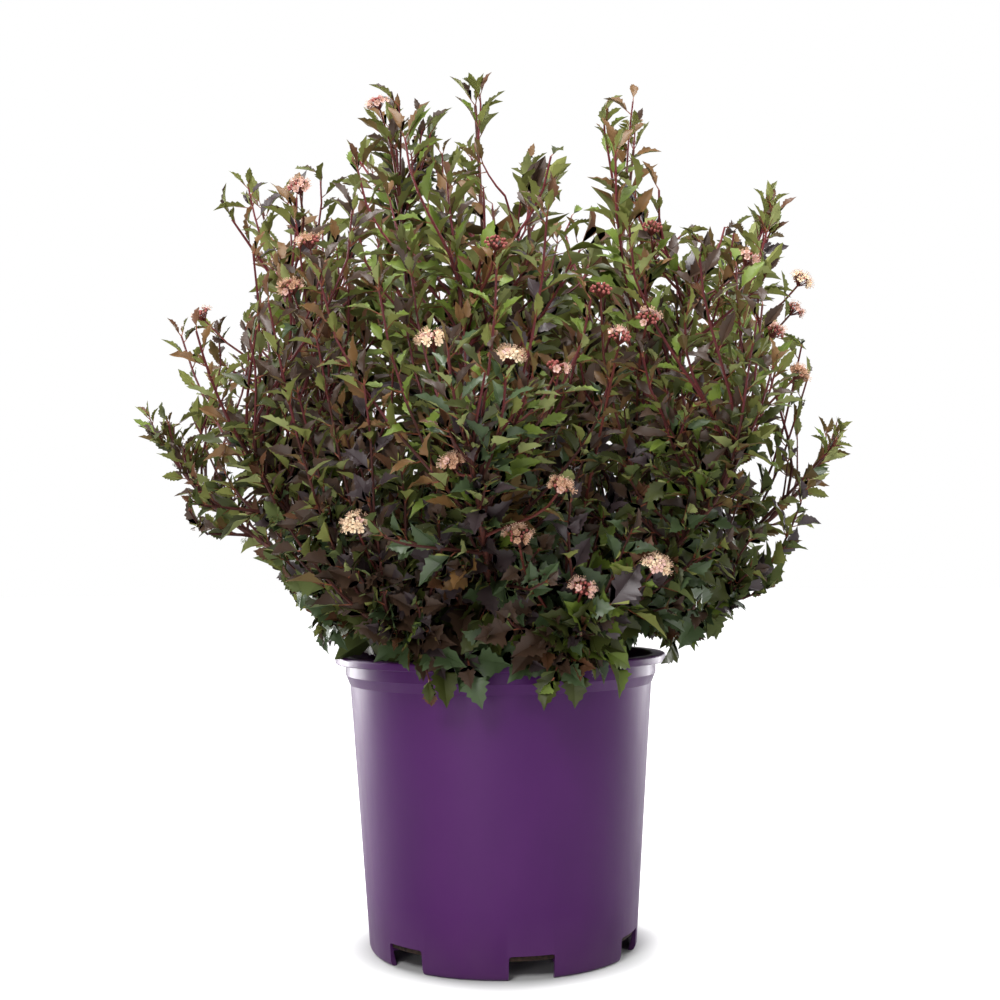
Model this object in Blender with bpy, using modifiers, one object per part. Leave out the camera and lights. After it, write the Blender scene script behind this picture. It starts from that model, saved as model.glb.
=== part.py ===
"""A ninebark shrub growing in its purple nursery container.

Metres, +Z up. The container's axis is the Z axis and it stands on the XY plane. The side
that faces -Y is the front. Bearings are degrees round the axis from +X towards +Y.
"""

import math
import random

import bmesh
import bpy
import numpy as np
from mathutils import Matrix, Vector

OBJECT_NAME = "potted_ninebark"
CLEARANCE = 0.0003
MERGE_DISTANCE = 0.00001
UP = Vector((0, 0, 1))

# Container, a number 3 nursery can
TURN_STEPS = 40
POT_HEIGHT = 0.2415
WALL = 0.0022
LIP_RADIUS = 0.138
LIP_DEPTH = 0.0065
LIP_ROUNDING = 0.0018
BAND_RADIUS = 0.1295
BAND_BOTTOM = 0.2248
SHOULDER_BOTTOM = 0.2177
WALL_RADIUS_AT_GROUND = 0.1106
WALL_SLOPE = 0.0699
FOOT_RADIUS = 0.1070
FOOT_ROUNDING = 0.010
FOOT_EASE = 0.0008
FLOOR_BOTTOM = 0.0120
FLOOR_TOP = 0.0145

# Drain notches in the foot: three at the front, three opposite
NOTCH_BEARINGS = (226.4, 281.4, 336.4, 46.4, 101.4, 156.4)
NOTCH_WIDTH = 0.036
NOTCH_HEIGHT = 0.019
NOTCH_INWARD = 0.012

# Potting mix
SOIL_EDGE = 0.2200
SOIL_TOP = 0.2270
SOIL_FLAT_RADIUS = 0.045

# Short woody stem that the canes rise from
STOOL_RADIUS = 0.034
STOOL_HEIGHT = 0.030
STOOL_STEPS = 16
STOOL_RINGS = 5

# Canes by tier: how high on the stool they start and how steeply their tips point, in
# degrees, the share of the cane below its foliage, and the bearing, reach and height of tips
LOW, SKIRT, SHOULDER, TOP, CENTRE = range(5)
START_RISE = {LOW: 24, SKIRT: 32, SHOULDER: 50, TOP: 68, CENTRE: 88}
TIP_RISE = {LOW: 4, SKIRT: 62, SHOULDER: 78, TOP: 86, CENTRE: 88}
BARE_SHARE = {LOW: 0.36, SKIRT: 0.22, SHOULDER: 0.17, TOP: 0.16, CENTRE: 0.17}
CANES = (
    (LOW, 340, 0.215, 0.288),
    (LOW, 27, 0.190, 0.275),
    (LOW, 72, 0.180, 0.268),
    (LOW, 115, 0.180, 0.268),
    (LOW, 157, 0.190, 0.275),
    (LOW, 200, 0.205, 0.300),
    (LOW, 244, 0.172, 0.266),
    (LOW, 290, 0.172, 0.264),
    (SKIRT, 4, 0.287, 0.418),
    (SKIRT, 50, 0.256, 0.415),
    (SKIRT, 94, 0.264, 0.420),
    (SKIRT, 136, 0.256, 0.410),
    (SKIRT, 178, 0.288, 0.425),
    (SKIRT, 222, 0.250, 0.405),
    (SKIRT, 266, 0.274, 0.395),
    (SKIRT, 312, 0.258, 0.395),
    (SHOULDER, 10, 0.242, 0.630),
    (SHOULDER, 62, 0.200, 0.590),
    (SHOULDER, 112, 0.205, 0.600),
    (SHOULDER, 168, 0.212, 0.632),
    (SHOULDER, 212, 0.195, 0.540),
    (SHOULDER, 262, 0.185, 0.535),
    (SHOULDER, 316, 0.210, 0.540),
    (TOP, 18, 0.128, 0.680),
    (TOP, 92, 0.105, 0.645),
    (TOP, 158, 0.100, 0.700),
    (TOP, 285, 0.095, 0.610),
    (CENTRE, 200, 0.018, 0.706),
)
CANE_FOOT_RADIUS = 0.0034
CANE_JOINT_RADIUS = 0.0026
SHOOT_TIP_RADIUS = 0.0013
CANE_BOW = 0.05
CANE_START_PULL = 0.35
CANE_TIP_PULL = 0.38
BOUGH_POINTS = 4
STEM_POINTS = 6
STRAIGHT_END = 0.004

# Twigs and leaves, each leaf standing for a tuft of the real ones
SEED = 41
GOLDEN_ANGLE = math.radians(137.5)
FOLIAGE_START = 0.06
TWIG_SPACING = 0.065
LAST_TWIG_AT = 0.88
TWIG_TURN_SPREAD = 0.4
TWIG_REACH_SPREAD = (0.85, 1.1)
TWIG_BARE_SHARE = 0.25
TWIG_SHORTENING = 0.82
TWIG_LEAN = {LOW: (48, 72), SKIRT: (32, 52), SHOULDER: (26, 44), TOP: (24, 40), CENTRE: (24, 40)}
TWIG_SHARE = {LOW: (0.70, 0.30), SKIRT: (0.55, 0.30), SHOULDER: (0.5, 0.3), TOP: (0.5, 0.32), CENTRE: (0.45, 0.3)}
TWIG_RADIUS = 0.0021
TWIG_TIP_RADIUS = 0.0012
SHORTEST_TWIG = 0.030
LEAF_SPACING = {LOW: 0.020, SKIRT: 0.038, SHOULDER: 0.046, TOP: 0.048, CENTRE: 0.048}
STEM_LEAF_LENGTH = (0.088, 0.046)
TWIG_LEAF_LENGTH = (0.078, 0.046)
LEAF_SIZES = (1, 0.82, 0.64)
LEAF_SWINGS = (0, 2.1, 4.2)
LEAF_WIDTH_SHARE = 0.72
LEAF_WIDEST = 0.42
LEAF_FOLD = 0.13
LEAF_LEAN = (36, 58)
LEAF_LEAN_LOSS = 0.35
TIP_LEAF_LEAN = 0.12
TIP_LEAF_SIZE = 0.9
LEAF_ROOT_DEPTH = 0.001
LEAF_LENGTH_SPREAD = (0.9, 1.1)
LEAF_OUTWARD = 0.9
LEAF_TUMBLE = 0.35
LEAF_DROOP = {LOW: 0.45, SKIRT: 0.12, SHOULDER: 0.0, TOP: 0.0, CENTRE: 0.0}

# Blossom heads: bearing, distance from the axis and height; the back repeats every third one
HEADS = (
    (260, 0.255, 0.470),
    (279, 0.258, 0.450),
    (272, 0.258, 0.457),
    (233, 0.245, 0.517),
    (294, 0.255, 0.486),
    (235, 0.235, 0.551),
    (287, 0.245, 0.506),
    (289, 0.258, 0.472),
    (263, 0.258, 0.387),
    (270, 0.235, 0.539),
    (246, 0.245, 0.347),
    (273, 0.240, 0.338),
    (300, 0.225, 0.317),
    (286, 0.212, 0.301),
    (229, 0.222, 0.597),
    (180, 0.254, 0.532),
    (325, 0.235, 0.547),
    (247, 0.150, 0.655),
    (298, 0.235, 0.555),
    (325, 0.255, 0.490),
    (333, 0.260, 0.462),
    (0, 0.261, 0.557),
    (0, 0.270, 0.352),
)
HEAD_RADIUS = 0.0140
HEAD_DEPTH = 0.0100
HEAD_SIDES = 6
STALK_CLIMB = 0.6

# A mass keeps to the points that lie nearer its own cane than any other, by this much
SPACE_MARGIN = 0.0030
LIMB_CLEARANCE = 0.0062
RIM_CLEARANCE = 0.0035
CANE_SAMPLES = 64

# The crown's edge, its radius by height: it hangs a little over the rim and widens upwards
CROWN_EDGE = (
    (0.205, 0.165),
    (0.240, 0.172),
    (0.262, 0.192),
    (0.300, 0.240),
    (0.335, 0.285),
    (0.370, 0.308),
    (0.430, 0.322),
    (0.480, 0.312),
    (0.540, 0.280),
    (0.600, 0.265),
    (0.665, 0.248),
    (0.690, 0.155),
    (0.750, 0.120),
)

# Colours: linear red, green and blue, with roughness
PURPLE_PLASTIC = ((0.092, 0.028, 0.128), 0.38)
BARK_MIX = ((0.045, 0.028, 0.018), 0.95)
OLD_WOOD = ((0.115, 0.062, 0.042), 0.85)
RED_BARK = ((0.125, 0.030, 0.026), 0.60)
DARK_LEAF = ((0.038, 0.046, 0.022), 0.55)


def clear_scene():
    """Removes whatever the scene holds."""
    for thing in list(bpy.data.objects):
        bpy.data.objects.remove(thing)


def new_collection(name):
    """A collection linked to the scene."""
    made = bpy.data.collections.new(name)
    bpy.context.scene.collection.children.link(made)
    return made


def principled(name, look):
    """A Principled material of one colour and roughness."""
    colour, roughness = look
    made = bpy.data.materials.new(name)
    made.use_nodes = True
    shader = made.node_tree.nodes["Principled BSDF"]
    shader.inputs["Base Color"].default_value = (*colour, 1)
    shader.inputs["Roughness"].default_value = roughness
    shader.inputs["Metallic"].default_value = 0
    return made


def new_object(name, mesh, collection, material=None):
    """An object for a mesh, in a collection."""
    made = bpy.data.objects.new(name, mesh)
    collection.objects.link(made)
    if material:
        mesh.materials.clear()
        mesh.materials.append(material)
    return made


def mesh_from(bm, name):
    """Turns a bmesh into a mesh and frees it."""
    mesh = bpy.data.meshes.new(name)
    bm.to_mesh(mesh)
    bm.free()
    return mesh


def turned(name, profile, steps, collection, material):
    """A solid turned from a half section that starts and ends on the axis."""
    bm = bmesh.new()
    points = [bm.verts.new((radius, 0, height)) for radius, height in profile]
    for first, second in zip(points, points[1:]):
        bm.edges.new((first, second))
    made = new_object(name, mesh_from(bm, name), collection, material)
    screw = made.modifiers.new("turn", "SCREW")
    screw.steps = steps
    screw.render_steps = steps
    screw.use_merge_vertices = True
    screw.merge_threshold = MERGE_DISTANCE
    screw.use_smooth_shade = True
    return made


def wall_radius(height):
    """Outer radius of the container's tapering wall."""
    return WALL_RADIUS_AT_GROUND + WALL_SLOPE * height


def arc(centre, radius, first_degrees, last_degrees, count):
    """Points on an arc in the half section."""
    angles = np.radians(np.linspace(first_degrees, last_degrees, count))
    return [(centre[0] + radius * math.cos(a), centre[1] + radius * math.sin(a)) for a in angles]


def pot_profile():
    """Half section of the container, from its floor up the inside and down the outside."""
    lip_centre = (LIP_RADIUS - LIP_ROUNDING, POT_HEIGHT - LIP_ROUNDING)
    inside = [
        (0, FLOOR_TOP),
        (wall_radius(FLOOR_TOP) - WALL, FLOOR_TOP),
        (wall_radius(SHOULDER_BOTTOM) - WALL, SHOULDER_BOTTOM),
        (BAND_RADIUS - WALL, BAND_BOTTOM),
        (BAND_RADIUS - WALL, POT_HEIGHT),
    ]
    lip = arc(lip_centre, LIP_ROUNDING, 90, 0, 3) + [
        (LIP_RADIUS, POT_HEIGHT - LIP_DEPTH),
        (LIP_RADIUS - WALL, POT_HEIGHT - LIP_DEPTH),
        (LIP_RADIUS - WALL, POT_HEIGHT - WALL),
        (BAND_RADIUS, POT_HEIGHT - WALL),
    ]
    outside = [
        (BAND_RADIUS, BAND_BOTTOM),
        (wall_radius(SHOULDER_BOTTOM), SHOULDER_BOTTOM),
        (wall_radius(FOOT_ROUNDING), FOOT_ROUNDING),
        (wall_radius(0) - FOOT_EASE, FOOT_ROUNDING * 0.35),
        (FOOT_RADIUS, 0),
    ]
    underside = [
        (FOOT_RADIUS - WALL, 0),
        (wall_radius(FLOOR_BOTTOM) - WALL - FOOT_EASE, FLOOR_BOTTOM),
        (0, FLOOR_BOTTOM),
    ]
    return inside + lip + outside + underside


def make_pot(collection, cutters, material):
    """The container, with drain notches cut through its foot."""
    pot = turned("pot", pot_profile(), TURN_STEPS, collection, material)
    bm = bmesh.new()
    for bearing in NOTCH_BEARINGS:
        inner = FOOT_RADIUS - NOTCH_INWARD
        outer = LIP_RADIUS
        size = (outer - inner, NOTCH_WIDTH, NOTCH_HEIGHT * 2)
        turn = Matrix.Rotation(math.radians(bearing), 4, "Z")
        place = turn @ Matrix.Translation(((inner + outer) / 2, 0, 0)) @ Matrix.Diagonal((*size, 1))
        bmesh.ops.create_cube(bm, size=1, matrix=place)
    cutter = new_object("notch_cutter", mesh_from(bm, "notch_cutter"), cutters)
    cutter.hide_render = True
    cutter.display_type = "WIRE"
    cut = pot.modifiers.new("notches", "BOOLEAN")
    cut.operation = "DIFFERENCE"
    cut.object = cutter
    return pot


def make_soil(collection, material):
    """Potting mix that fills the container, flat where the stem stands."""
    inset = WALL + CLEARANCE
    profile = [
        (0, SOIL_TOP),
        (SOIL_FLAT_RADIUS, SOIL_TOP),
        (wall_radius(SOIL_EDGE) - inset, SOIL_EDGE),
        (wall_radius(FLOOR_TOP) - inset, FLOOR_TOP + CLEARANCE),
        (0, FLOOR_TOP + CLEARANCE),
    ]
    return turned("soil", profile, TURN_STEPS, collection, material)


def make_stool(collection, material):
    """The short woody stem, a low dome with a flat foot on the soil."""
    foot = SOIL_TOP + CLEARANCE
    angles = np.radians(np.linspace(90, 0, STOOL_RINGS + 1))
    dome = [(STOOL_RADIUS * math.cos(a), foot + STOOL_HEIGHT * math.sin(a)) for a in angles]
    dome[0] = (0, foot + STOOL_HEIGHT)
    return turned("stem_base", dome + [(0, foot)], STOOL_STEPS, collection, material)


def across(heading):
    """Two directions square to a heading and to each other."""
    side = heading.cross(UP if abs(heading.z) < 0.95 else Vector((1, 0, 0))).normalized()
    return side, side.cross(heading)


def cane_controls(number, cane):
    """Four control points of a cane's curve, from the stool's skin to its tip."""
    tier, bearing, reach, height = cane
    draw = random.Random(SEED * 1000 + number)
    turn = math.radians(bearing)
    outward = Vector((math.cos(turn), math.sin(turn), 0))
    rise = math.radians(START_RISE[tier])
    out_part, up_part = math.cos(rise), math.sin(rise)
    foot = UP * (SOIL_TOP + CLEARANCE)
    skin = foot + outward * STOOL_RADIUS * out_part + UP * STOOL_HEIGHT * up_part
    leave = (outward * out_part / STOOL_RADIUS + UP * up_part / STOOL_HEIGHT).normalized()
    start = skin + leave * CLEARANCE
    tip = outward * reach + UP * height
    span = (tip - start).length
    tip_rise = math.radians(TIP_RISE[tier])
    arrive = outward * math.cos(tip_rise) + UP * math.sin(tip_rise)
    sideways = outward.cross(UP) * span * draw.uniform(-CANE_BOW, CANE_BOW)
    return start, start + leave * span * CANE_START_PULL, tip - arrive * span * CANE_TIP_PULL + sideways, tip


def point_at(controls, share):
    """Place on a cane's curve."""
    a, b, c, d = controls
    rest = 1 - share
    return a * rest**3 + b * (3 * rest * rest * share) + c * (3 * rest * share * share) + d * share**3


def heading_at(controls, share):
    """Direction of a cane's curve."""
    a, b, c, d = controls
    rest = 1 - share
    slope = (b - a) * rest * rest + (c - b) * (2 * rest * share) + (d - c) * share * share
    return slope.normalized()


def tube(name, points, radii, collection, material=None):
    """A tapering tube through points, as a closed mesh object."""
    curve = bpy.data.curves.new(name, "CURVE")
    curve.dimensions = "3D"
    curve.bevel_depth = 1
    curve.bevel_resolution = 0
    curve.use_fill_caps = True
    spline = curve.splines.new("POLY")
    spline.points.add(len(points) - 1)
    for slot, place, radius in zip(spline.points, points, radii):
        slot.co = (*place, 1)
        slot.radius = radius
    drawn = new_object(name + "_curve", curve, collection)
    graph = bpy.context.evaluated_depsgraph_get()
    mesh = bpy.data.meshes.new_from_object(drawn.evaluated_get(graph))
    bpy.data.objects.remove(drawn)
    bm = bmesh.new()
    bm.from_mesh(mesh)
    bmesh.ops.remove_doubles(bm, verts=bm.verts, dist=MERGE_DISTANCE)
    bmesh.ops.recalc_face_normals(bm, faces=bm.faces)
    bm.to_mesh(mesh)
    bm.free()
    mesh.name = name
    return new_object(name, mesh, collection, material)


def bough_line(controls, bare):
    """Points and radii of the bare part of a cane, straight for its last few millimetres."""
    shares = np.linspace(0, bare, BOUGH_POINTS)
    end, heading = point_at(controls, bare), heading_at(controls, bare)
    points = [point_at(controls, s) for s in shares[:-1]] + [end - heading * STRAIGHT_END, end]
    radii = list(np.linspace(CANE_FOOT_RADIUS, CANE_JOINT_RADIUS, BOUGH_POINTS))
    return points, radii + [CANE_JOINT_RADIUS]


def stem_line(controls, bare):
    """Points and radii of the stem inside a mass, which starts clear of the bough's end."""
    start, heading = point_at(controls, bare), heading_at(controls, bare)
    shares = np.linspace(bare, 1, STEM_POINTS)[1:]
    points = [start + heading * CLEARANCE, start + heading * (CLEARANCE + STRAIGHT_END)]
    points += [point_at(controls, s) for s in shares]
    radii = [CANE_JOINT_RADIUS] + list(np.linspace(CANE_JOINT_RADIUS, SHOOT_TIP_RADIUS, STEM_POINTS))
    return points, radii


class Space:
    """The room that each mass keeps to, set by the canes and the container."""

    def __init__(self, lines, bare_shares):
        shares = np.linspace(0, 1, CANE_SAMPLES)
        self.lines = np.array([[tuple(point_at(line, s)) for s in shares] for line in lines])
        self.bare = [line[shares <= bare] for line, bare in zip(self.lines, bare_shares)]

    def holds(self, number, points):
        """Whether all points lie in a mass's room, clear of limbs and of the container."""
        spots = np.array([tuple(p) for p in points])
        gaps = np.linalg.norm(self.lines[:, :, None, :] - spots, axis=3).min(axis=1)
        own = gaps[number]
        others = np.delete(gaps, number, axis=0).min(axis=0)
        limb = np.linalg.norm(self.bare[number][:, None, :] - spots, axis=2).min()
        if (others < own + SPACE_MARGIN).any() or others.min() < LIMB_CLEARANCE:
            return False
        return limb > LIMB_CLEARANCE and all(self.clear_of_pot(p) and self.in_crown(p) for p in spots)

    def nearest_cane(self, place):
        """Number of the cane nearest a point."""
        return int(np.linalg.norm(self.lines - np.array(tuple(place)), axis=2).min(axis=1).argmin())

    @staticmethod
    def clear_of_pot(spot):
        """Whether a point is above the rim, outside it, or in the mouth above the soil."""
        radius = math.hypot(spot[0], spot[1])
        above = spot[2] > POT_HEIGHT + RIM_CLEARANCE
        outside = radius > LIP_RADIUS + RIM_CLEARANCE
        in_mouth = radius < BAND_RADIUS - WALL - RIM_CLEARANCE and spot[2] > SOIL_TOP + RIM_CLEARANCE
        return above or outside or in_mouth

    @staticmethod
    def in_crown(spot):
        """Whether a point is inside the crown's edge."""
        heights, radii = zip(*CROWN_EDGE)
        inside = math.hypot(spot[0], spot[1]) < np.interp(spot[2], heights, radii)
        return inside and heights[0] < spot[2] < heights[-1]


def along_line(first, last, count):
    """Evenly spaced points between two, both ends in."""
    return [first.lerp(last, k / (count - 1)) for k in range(count)]


def leaf_corners(root, along, face, length):
    """Root, two side corners and tip of a leaf that slopes down from its midrib."""
    side = along.cross(face).normalized()
    half = length * LEAF_WIDTH_SHARE / 2
    widest = root + along * length * LEAF_WIDEST - face * half * LEAF_FOLD
    return widest + side * half, widest - side * half, root + along * length


def leaf_fits(space, number, root, corners):
    """Whether a leaf's outline and midrib keep to the mass's room."""
    left, right, tip = corners
    outline = along_line(root, tip, 5)[1:] + along_line(left, tip, 3)[:-1] + along_line(right, tip, 3)[:-1]
    return space.holds(number, outline)


def leaf_object(root, corners, collection):
    """A thin leaf, ridged along its midrib, whose root lies inside its twig."""
    bm = bmesh.new()
    base, left, right, tip = (bm.verts.new(place) for place in (root, *corners))
    for corner in ((base, left, tip), (base, tip, right), (base, right, left), (left, right, tip)):
        bm.faces.new(corner)
    bmesh.ops.recalc_face_normals(bm, faces=bm.faces)
    return new_object("leaf", mesh_from(bm, "leaf"), collection)


def cone_object(first, last, radius, tip_radius, collection):
    """A three-sided twig."""
    heading = last - first
    place = Matrix.Translation((first + last) / 2) @ heading.to_track_quat("Z", "Y").to_matrix().to_4x4()
    bm = bmesh.new()
    bmesh.ops.create_cone(
        bm, cap_ends=True, segments=3, radius1=radius, radius2=tip_radius, depth=heading.length, matrix=place
    )
    return new_object("twig", mesh_from(bm, "twig"), collection)


def head_object(centre, heading, collection):
    """A blossom head, a shallow dome that opens along a heading."""
    place = Matrix.Translation(centre) @ heading.to_track_quat("-Z", "Y").to_matrix().to_4x4()
    bm = bmesh.new()
    bmesh.ops.create_cone(
        bm, cap_ends=True, segments=HEAD_SIDES, radius1=HEAD_RADIUS, radius2=TWIG_TIP_RADIUS,
        depth=HEAD_DEPTH, matrix=place
    )
    return new_object("head", mesh_from(bm, "head"), collection)


def leaned(heading, lean, turn):
    """A direction that leans off a heading, turned round it."""
    side, front = across(heading)
    return (heading * math.cos(lean) + (side * math.cos(turn) + front * math.sin(turn)) * math.sin(lean)).normalized()


def add_leaf(space, number, tier, draw, root, heading, lean, turn, length, parts):
    """Adds one leaf where it keeps to the room, turned or smaller if it has to be."""
    outward = Vector((root.x, root.y, 0)).normalized()
    droop = UP * LEAF_DROOP[tier] * draw.uniform(0.5, 1)
    tumble = Vector([draw.uniform(-LEAF_TUMBLE, LEAF_TUMBLE) for _ in range(3)])
    length *= draw.uniform(*LEAF_LENGTH_SPREAD)
    for size in LEAF_SIZES:
        for swing in LEAF_SWINGS:
            along = (leaned(heading, lean, turn + swing) - droop).normalized()
            face = heading + outward * LEAF_OUTWARD + tumble
            face = (face - along * face.dot(along)).normalized()
            corners = leaf_corners(root, along, face, length * size)
            if leaf_fits(space, number, root, corners):
                leaf_object(root, corners, parts)
                return


def leaf_shoot(space, number, tier, draw, place_at, aim_at, length, leaf_lengths, parts):
    """Leaves in a spiral up a shoot, smaller towards its tip, and one that ends it."""
    first_leaf, last_leaf = leaf_lengths
    count = max(2, round(length / LEAF_SPACING[tier]))
    turn = draw.uniform(0, 2 * math.pi)
    for k in range(count):
        share = (k + 0.6) / count
        turn += GOLDEN_ANGLE
        lean = math.radians(draw.uniform(*LEAF_LEAN)) * (1 - LEAF_LEAN_LOSS * share)
        size = first_leaf + (last_leaf - first_leaf) * share
        add_leaf(space, number, tier, draw, place_at(share), aim_at(share), lean, turn, size, parts)
    tip = place_at(1) - aim_at(1) * LEAF_ROOT_DEPTH
    add_leaf(space, number, tier, draw, tip, aim_at(1), TIP_LEAF_LEAN, turn, last_leaf * TIP_LEAF_SIZE, parts)


def grow_mass(number, cane, controls, space, parts):
    """Twigs, leaves and blossom of one mass, each a closed object in a collection."""
    tier, bare = cane[0], BARE_SHARE[cane[0]]
    length = sum(
        (point_at(controls, bare + (1 - bare) * (k + 1) / 8) - point_at(controls, bare + (1 - bare) * k / 8)).length
        for k in range(8)
    )

    def on_stem(share):
        return point_at(controls, bare + (1 - bare) * (FOLIAGE_START + (1 - FOLIAGE_START) * share))

    def aim(share):
        return heading_at(controls, bare + (1 - bare) * share)

    draw = random.Random(SEED * 2000 + number)
    leaf_shoot(space, number, tier, draw, on_stem, aim, length, STEM_LEAF_LENGTH, parts)
    count = max(3, round(length / TWIG_SPACING))
    for k in range(count):
        draw = random.Random(SEED * 3000 + number * 50 + k)
        share = (k + 0.4) / count * LAST_TWIG_AT
        start, heading = on_stem(share), aim(share)
        lean = math.radians(draw.uniform(*TWIG_LEAN[tier]))
        turn = k * GOLDEN_ANGLE + number + draw.uniform(-TWIG_TURN_SPREAD, TWIG_TURN_SPREAD)
        way = leaned(heading, lean, turn)
        long_share, shrink = TWIG_SHARE[tier]
        reach = length * (long_share - shrink * share) * draw.uniform(*TWIG_REACH_SPREAD)
        while reach > SHORTEST_TWIG:
            end = start + way * reach
            if space.holds(number, along_line(start, end, 6)[2:]):
                cone_object(start, end, TWIG_RADIUS, TWIG_TIP_RADIUS, parts)
                leaf_shoot(
                    space,
                    number,
                    tier,
                    draw,
                    lambda s, a=start, w=way, r=reach: a + w * r * (TWIG_BARE_SHARE + (1 - TWIG_BARE_SHARE) * s),
                    lambda s, w=way: w,
                    reach * (1 - TWIG_BARE_SHARE),
                    TWIG_LEAF_LENGTH,
                    parts,
                )
                break
            reach *= TWIG_SHORTENING
    for head in head_places(space, number):
        add_head(space, number, controls, head, parts)


def head_places(space, number):
    """The blossom heads that lie nearest one cane."""
    turned_round = [(bearing + 180, reach, height) for bearing, reach, height in HEADS[::3]]
    places = []
    for bearing, reach, height in (*HEADS, *turned_round):
        turn = math.radians(bearing)
        place = Vector((reach * math.cos(turn), reach * math.sin(turn), height))
        if space.nearest_cane(place) == number:
            places.append(place)
    return places


def add_head(space, number, controls, centre, parts):
    """A stalk from the nearest lower place of the stem, with a blossom head."""
    bare = BARE_SHARE[CANES[number][0]]
    spots = [point_at(controls, bare + (1 - bare) * k / 20) for k in range(1, 20)]
    lower = [p for p in spots if centre.z - p.z > STALK_CLIMB * math.hypot(centre.x - p.x, centre.y - p.y)]
    if not lower:
        return
    start = min(lower, key=lambda p: (centre - p).length)
    way = (centre - start).normalized()
    edge = [centre + side * HEAD_RADIUS for side in (*across(way), *(-a for a in across(way)))]
    if space.holds(number, along_line(start, centre, 5)[2:] + edge):
        cone_object(start, centre, TWIG_RADIUS, TWIG_TIP_RADIUS, parts)
        head_object(centre, way, parts)


def keep_largest_body(mesh):
    """Drops loose scraps and the skins of sealed hollows."""
    bm = bmesh.new()
    bm.from_mesh(mesh)
    left, bodies = set(bm.faces), []
    while left:
        body, edge_of = set(), [left.pop()]
        while edge_of:
            face = edge_of.pop()
            body.add(face)
            for edge in face.edges:
                for other in edge.link_faces:
                    if other in left:
                        left.discard(other)
                        edge_of.append(other)
        bodies.append(body)
    largest = max(bodies, key=len)
    bmesh.ops.delete(bm, geom=[f for f in bm.faces if f not in largest], context="FACES")
    bm.to_mesh(mesh)
    bm.free()


def fuse(name, stem, parts, collection, material):
    """Joins a stem and everything in a collection into one closed object."""
    join = stem.modifiers.new("join", "BOOLEAN")
    join.operation = "UNION"
    join.operand_type = "COLLECTION"
    join.collection = parts
    graph = bpy.context.evaluated_depsgraph_get()
    mesh = bpy.data.meshes.new_from_object(stem.evaluated_get(graph))
    mesh.name = name
    keep_largest_body(mesh)
    for thing in [stem, *parts.objects]:
        bpy.data.objects.remove(thing)
    bpy.data.collections.remove(parts)
    return new_object(name, mesh, collection, material)


def main():
    """Builds the container, the soil, the stem, the canes and the foliage."""
    clear_scene()
    plant, cutters = new_collection(OBJECT_NAME), new_collection("cutters")
    make_pot(plant, cutters, principled("purple_plastic", PURPLE_PLASTIC))
    make_soil(plant, principled("bark_mix", BARK_MIX))
    make_stool(plant, principled("old_wood", OLD_WOOD))
    red_bark = principled("red_bark", RED_BARK)
    dark_leaf = principled("dark_leaf", DARK_LEAF)
    lines = [cane_controls(number, cane) for number, cane in enumerate(CANES)]
    space = Space(lines, [BARE_SHARE[cane[0]] for cane in CANES])
    for number, (cane, controls) in enumerate(zip(CANES, lines)):
        bare = BARE_SHARE[cane[0]]
        label = f"{number + 1:02d}"
        tube("bough_" + label, *bough_line(controls, bare), plant, red_bark)
        parts = new_collection("parts_" + label)
        stem = tube("stem_" + label, *stem_line(controls, bare), plant)
        grow_mass(number, cane, controls, space, parts)
        fuse("foliage_" + label, stem, parts, plant, dark_leaf)


main()
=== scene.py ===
"""Dresses the potted ninebark: container, potting mix, canes, twigs, leaves and blossom.

Metres, +Z up, the front faces -Y. Canes are curves from the woody stem base. Each mass of
foliage keeps to the room nearest its own cane, and its twigs and side shoots come from seeded
draws. Each side shoot carries life-size leaves.
"""

import logging
import math
import random
from collections.abc import Callable, Iterable, Sequence
from dataclasses import dataclass, field
from enum import Enum, IntEnum
from functools import cache

import bmesh
import bpy
import numpy as np
from bpy.types import ID, Material, Mesh, Node, Nodes, NodeSocket, NodeTree, Object
from mathutils import Matrix, Vector, noise


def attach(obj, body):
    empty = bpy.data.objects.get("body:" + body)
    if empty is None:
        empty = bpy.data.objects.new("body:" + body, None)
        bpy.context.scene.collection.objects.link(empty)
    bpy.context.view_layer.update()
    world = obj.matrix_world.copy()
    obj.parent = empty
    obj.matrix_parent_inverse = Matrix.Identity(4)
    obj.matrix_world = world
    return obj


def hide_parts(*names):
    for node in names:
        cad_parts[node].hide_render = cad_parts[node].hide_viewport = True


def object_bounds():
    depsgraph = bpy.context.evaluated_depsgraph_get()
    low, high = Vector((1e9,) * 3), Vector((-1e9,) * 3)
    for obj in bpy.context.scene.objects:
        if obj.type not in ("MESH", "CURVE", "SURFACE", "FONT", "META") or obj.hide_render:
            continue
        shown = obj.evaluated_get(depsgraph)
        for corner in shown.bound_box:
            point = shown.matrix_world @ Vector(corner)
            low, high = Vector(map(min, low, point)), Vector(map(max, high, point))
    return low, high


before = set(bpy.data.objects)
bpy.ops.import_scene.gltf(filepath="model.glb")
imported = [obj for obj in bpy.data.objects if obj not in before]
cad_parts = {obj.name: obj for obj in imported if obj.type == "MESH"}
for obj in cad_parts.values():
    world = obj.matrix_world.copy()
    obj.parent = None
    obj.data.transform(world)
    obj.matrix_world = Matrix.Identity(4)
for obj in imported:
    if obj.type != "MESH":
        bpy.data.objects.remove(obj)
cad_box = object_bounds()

log = logging.getLogger("ninebark")

Span = tuple[float, float]
Colour = tuple[float, ...]
# Two rows for np.interp: heights, and the value at each
Ramp = tuple[tuple[float, ...], ...]

UP = Vector((0, 0, 1))
BODY = "root"
CLEARANCE = 0.0003
MERGE_DISTANCE = 0.00001
SEED = 41
GOLDEN_ANGLE = math.radians(137.5)
LEAF_SHARP_ANGLE = math.radians(58)
SHARP_ANGLE = math.radians(35)
POT_SHARP_ANGLE = math.radians(32)
STEEP = 0.95
FAR = 9.0
NEARLY_A_TURN = 6.28

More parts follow.
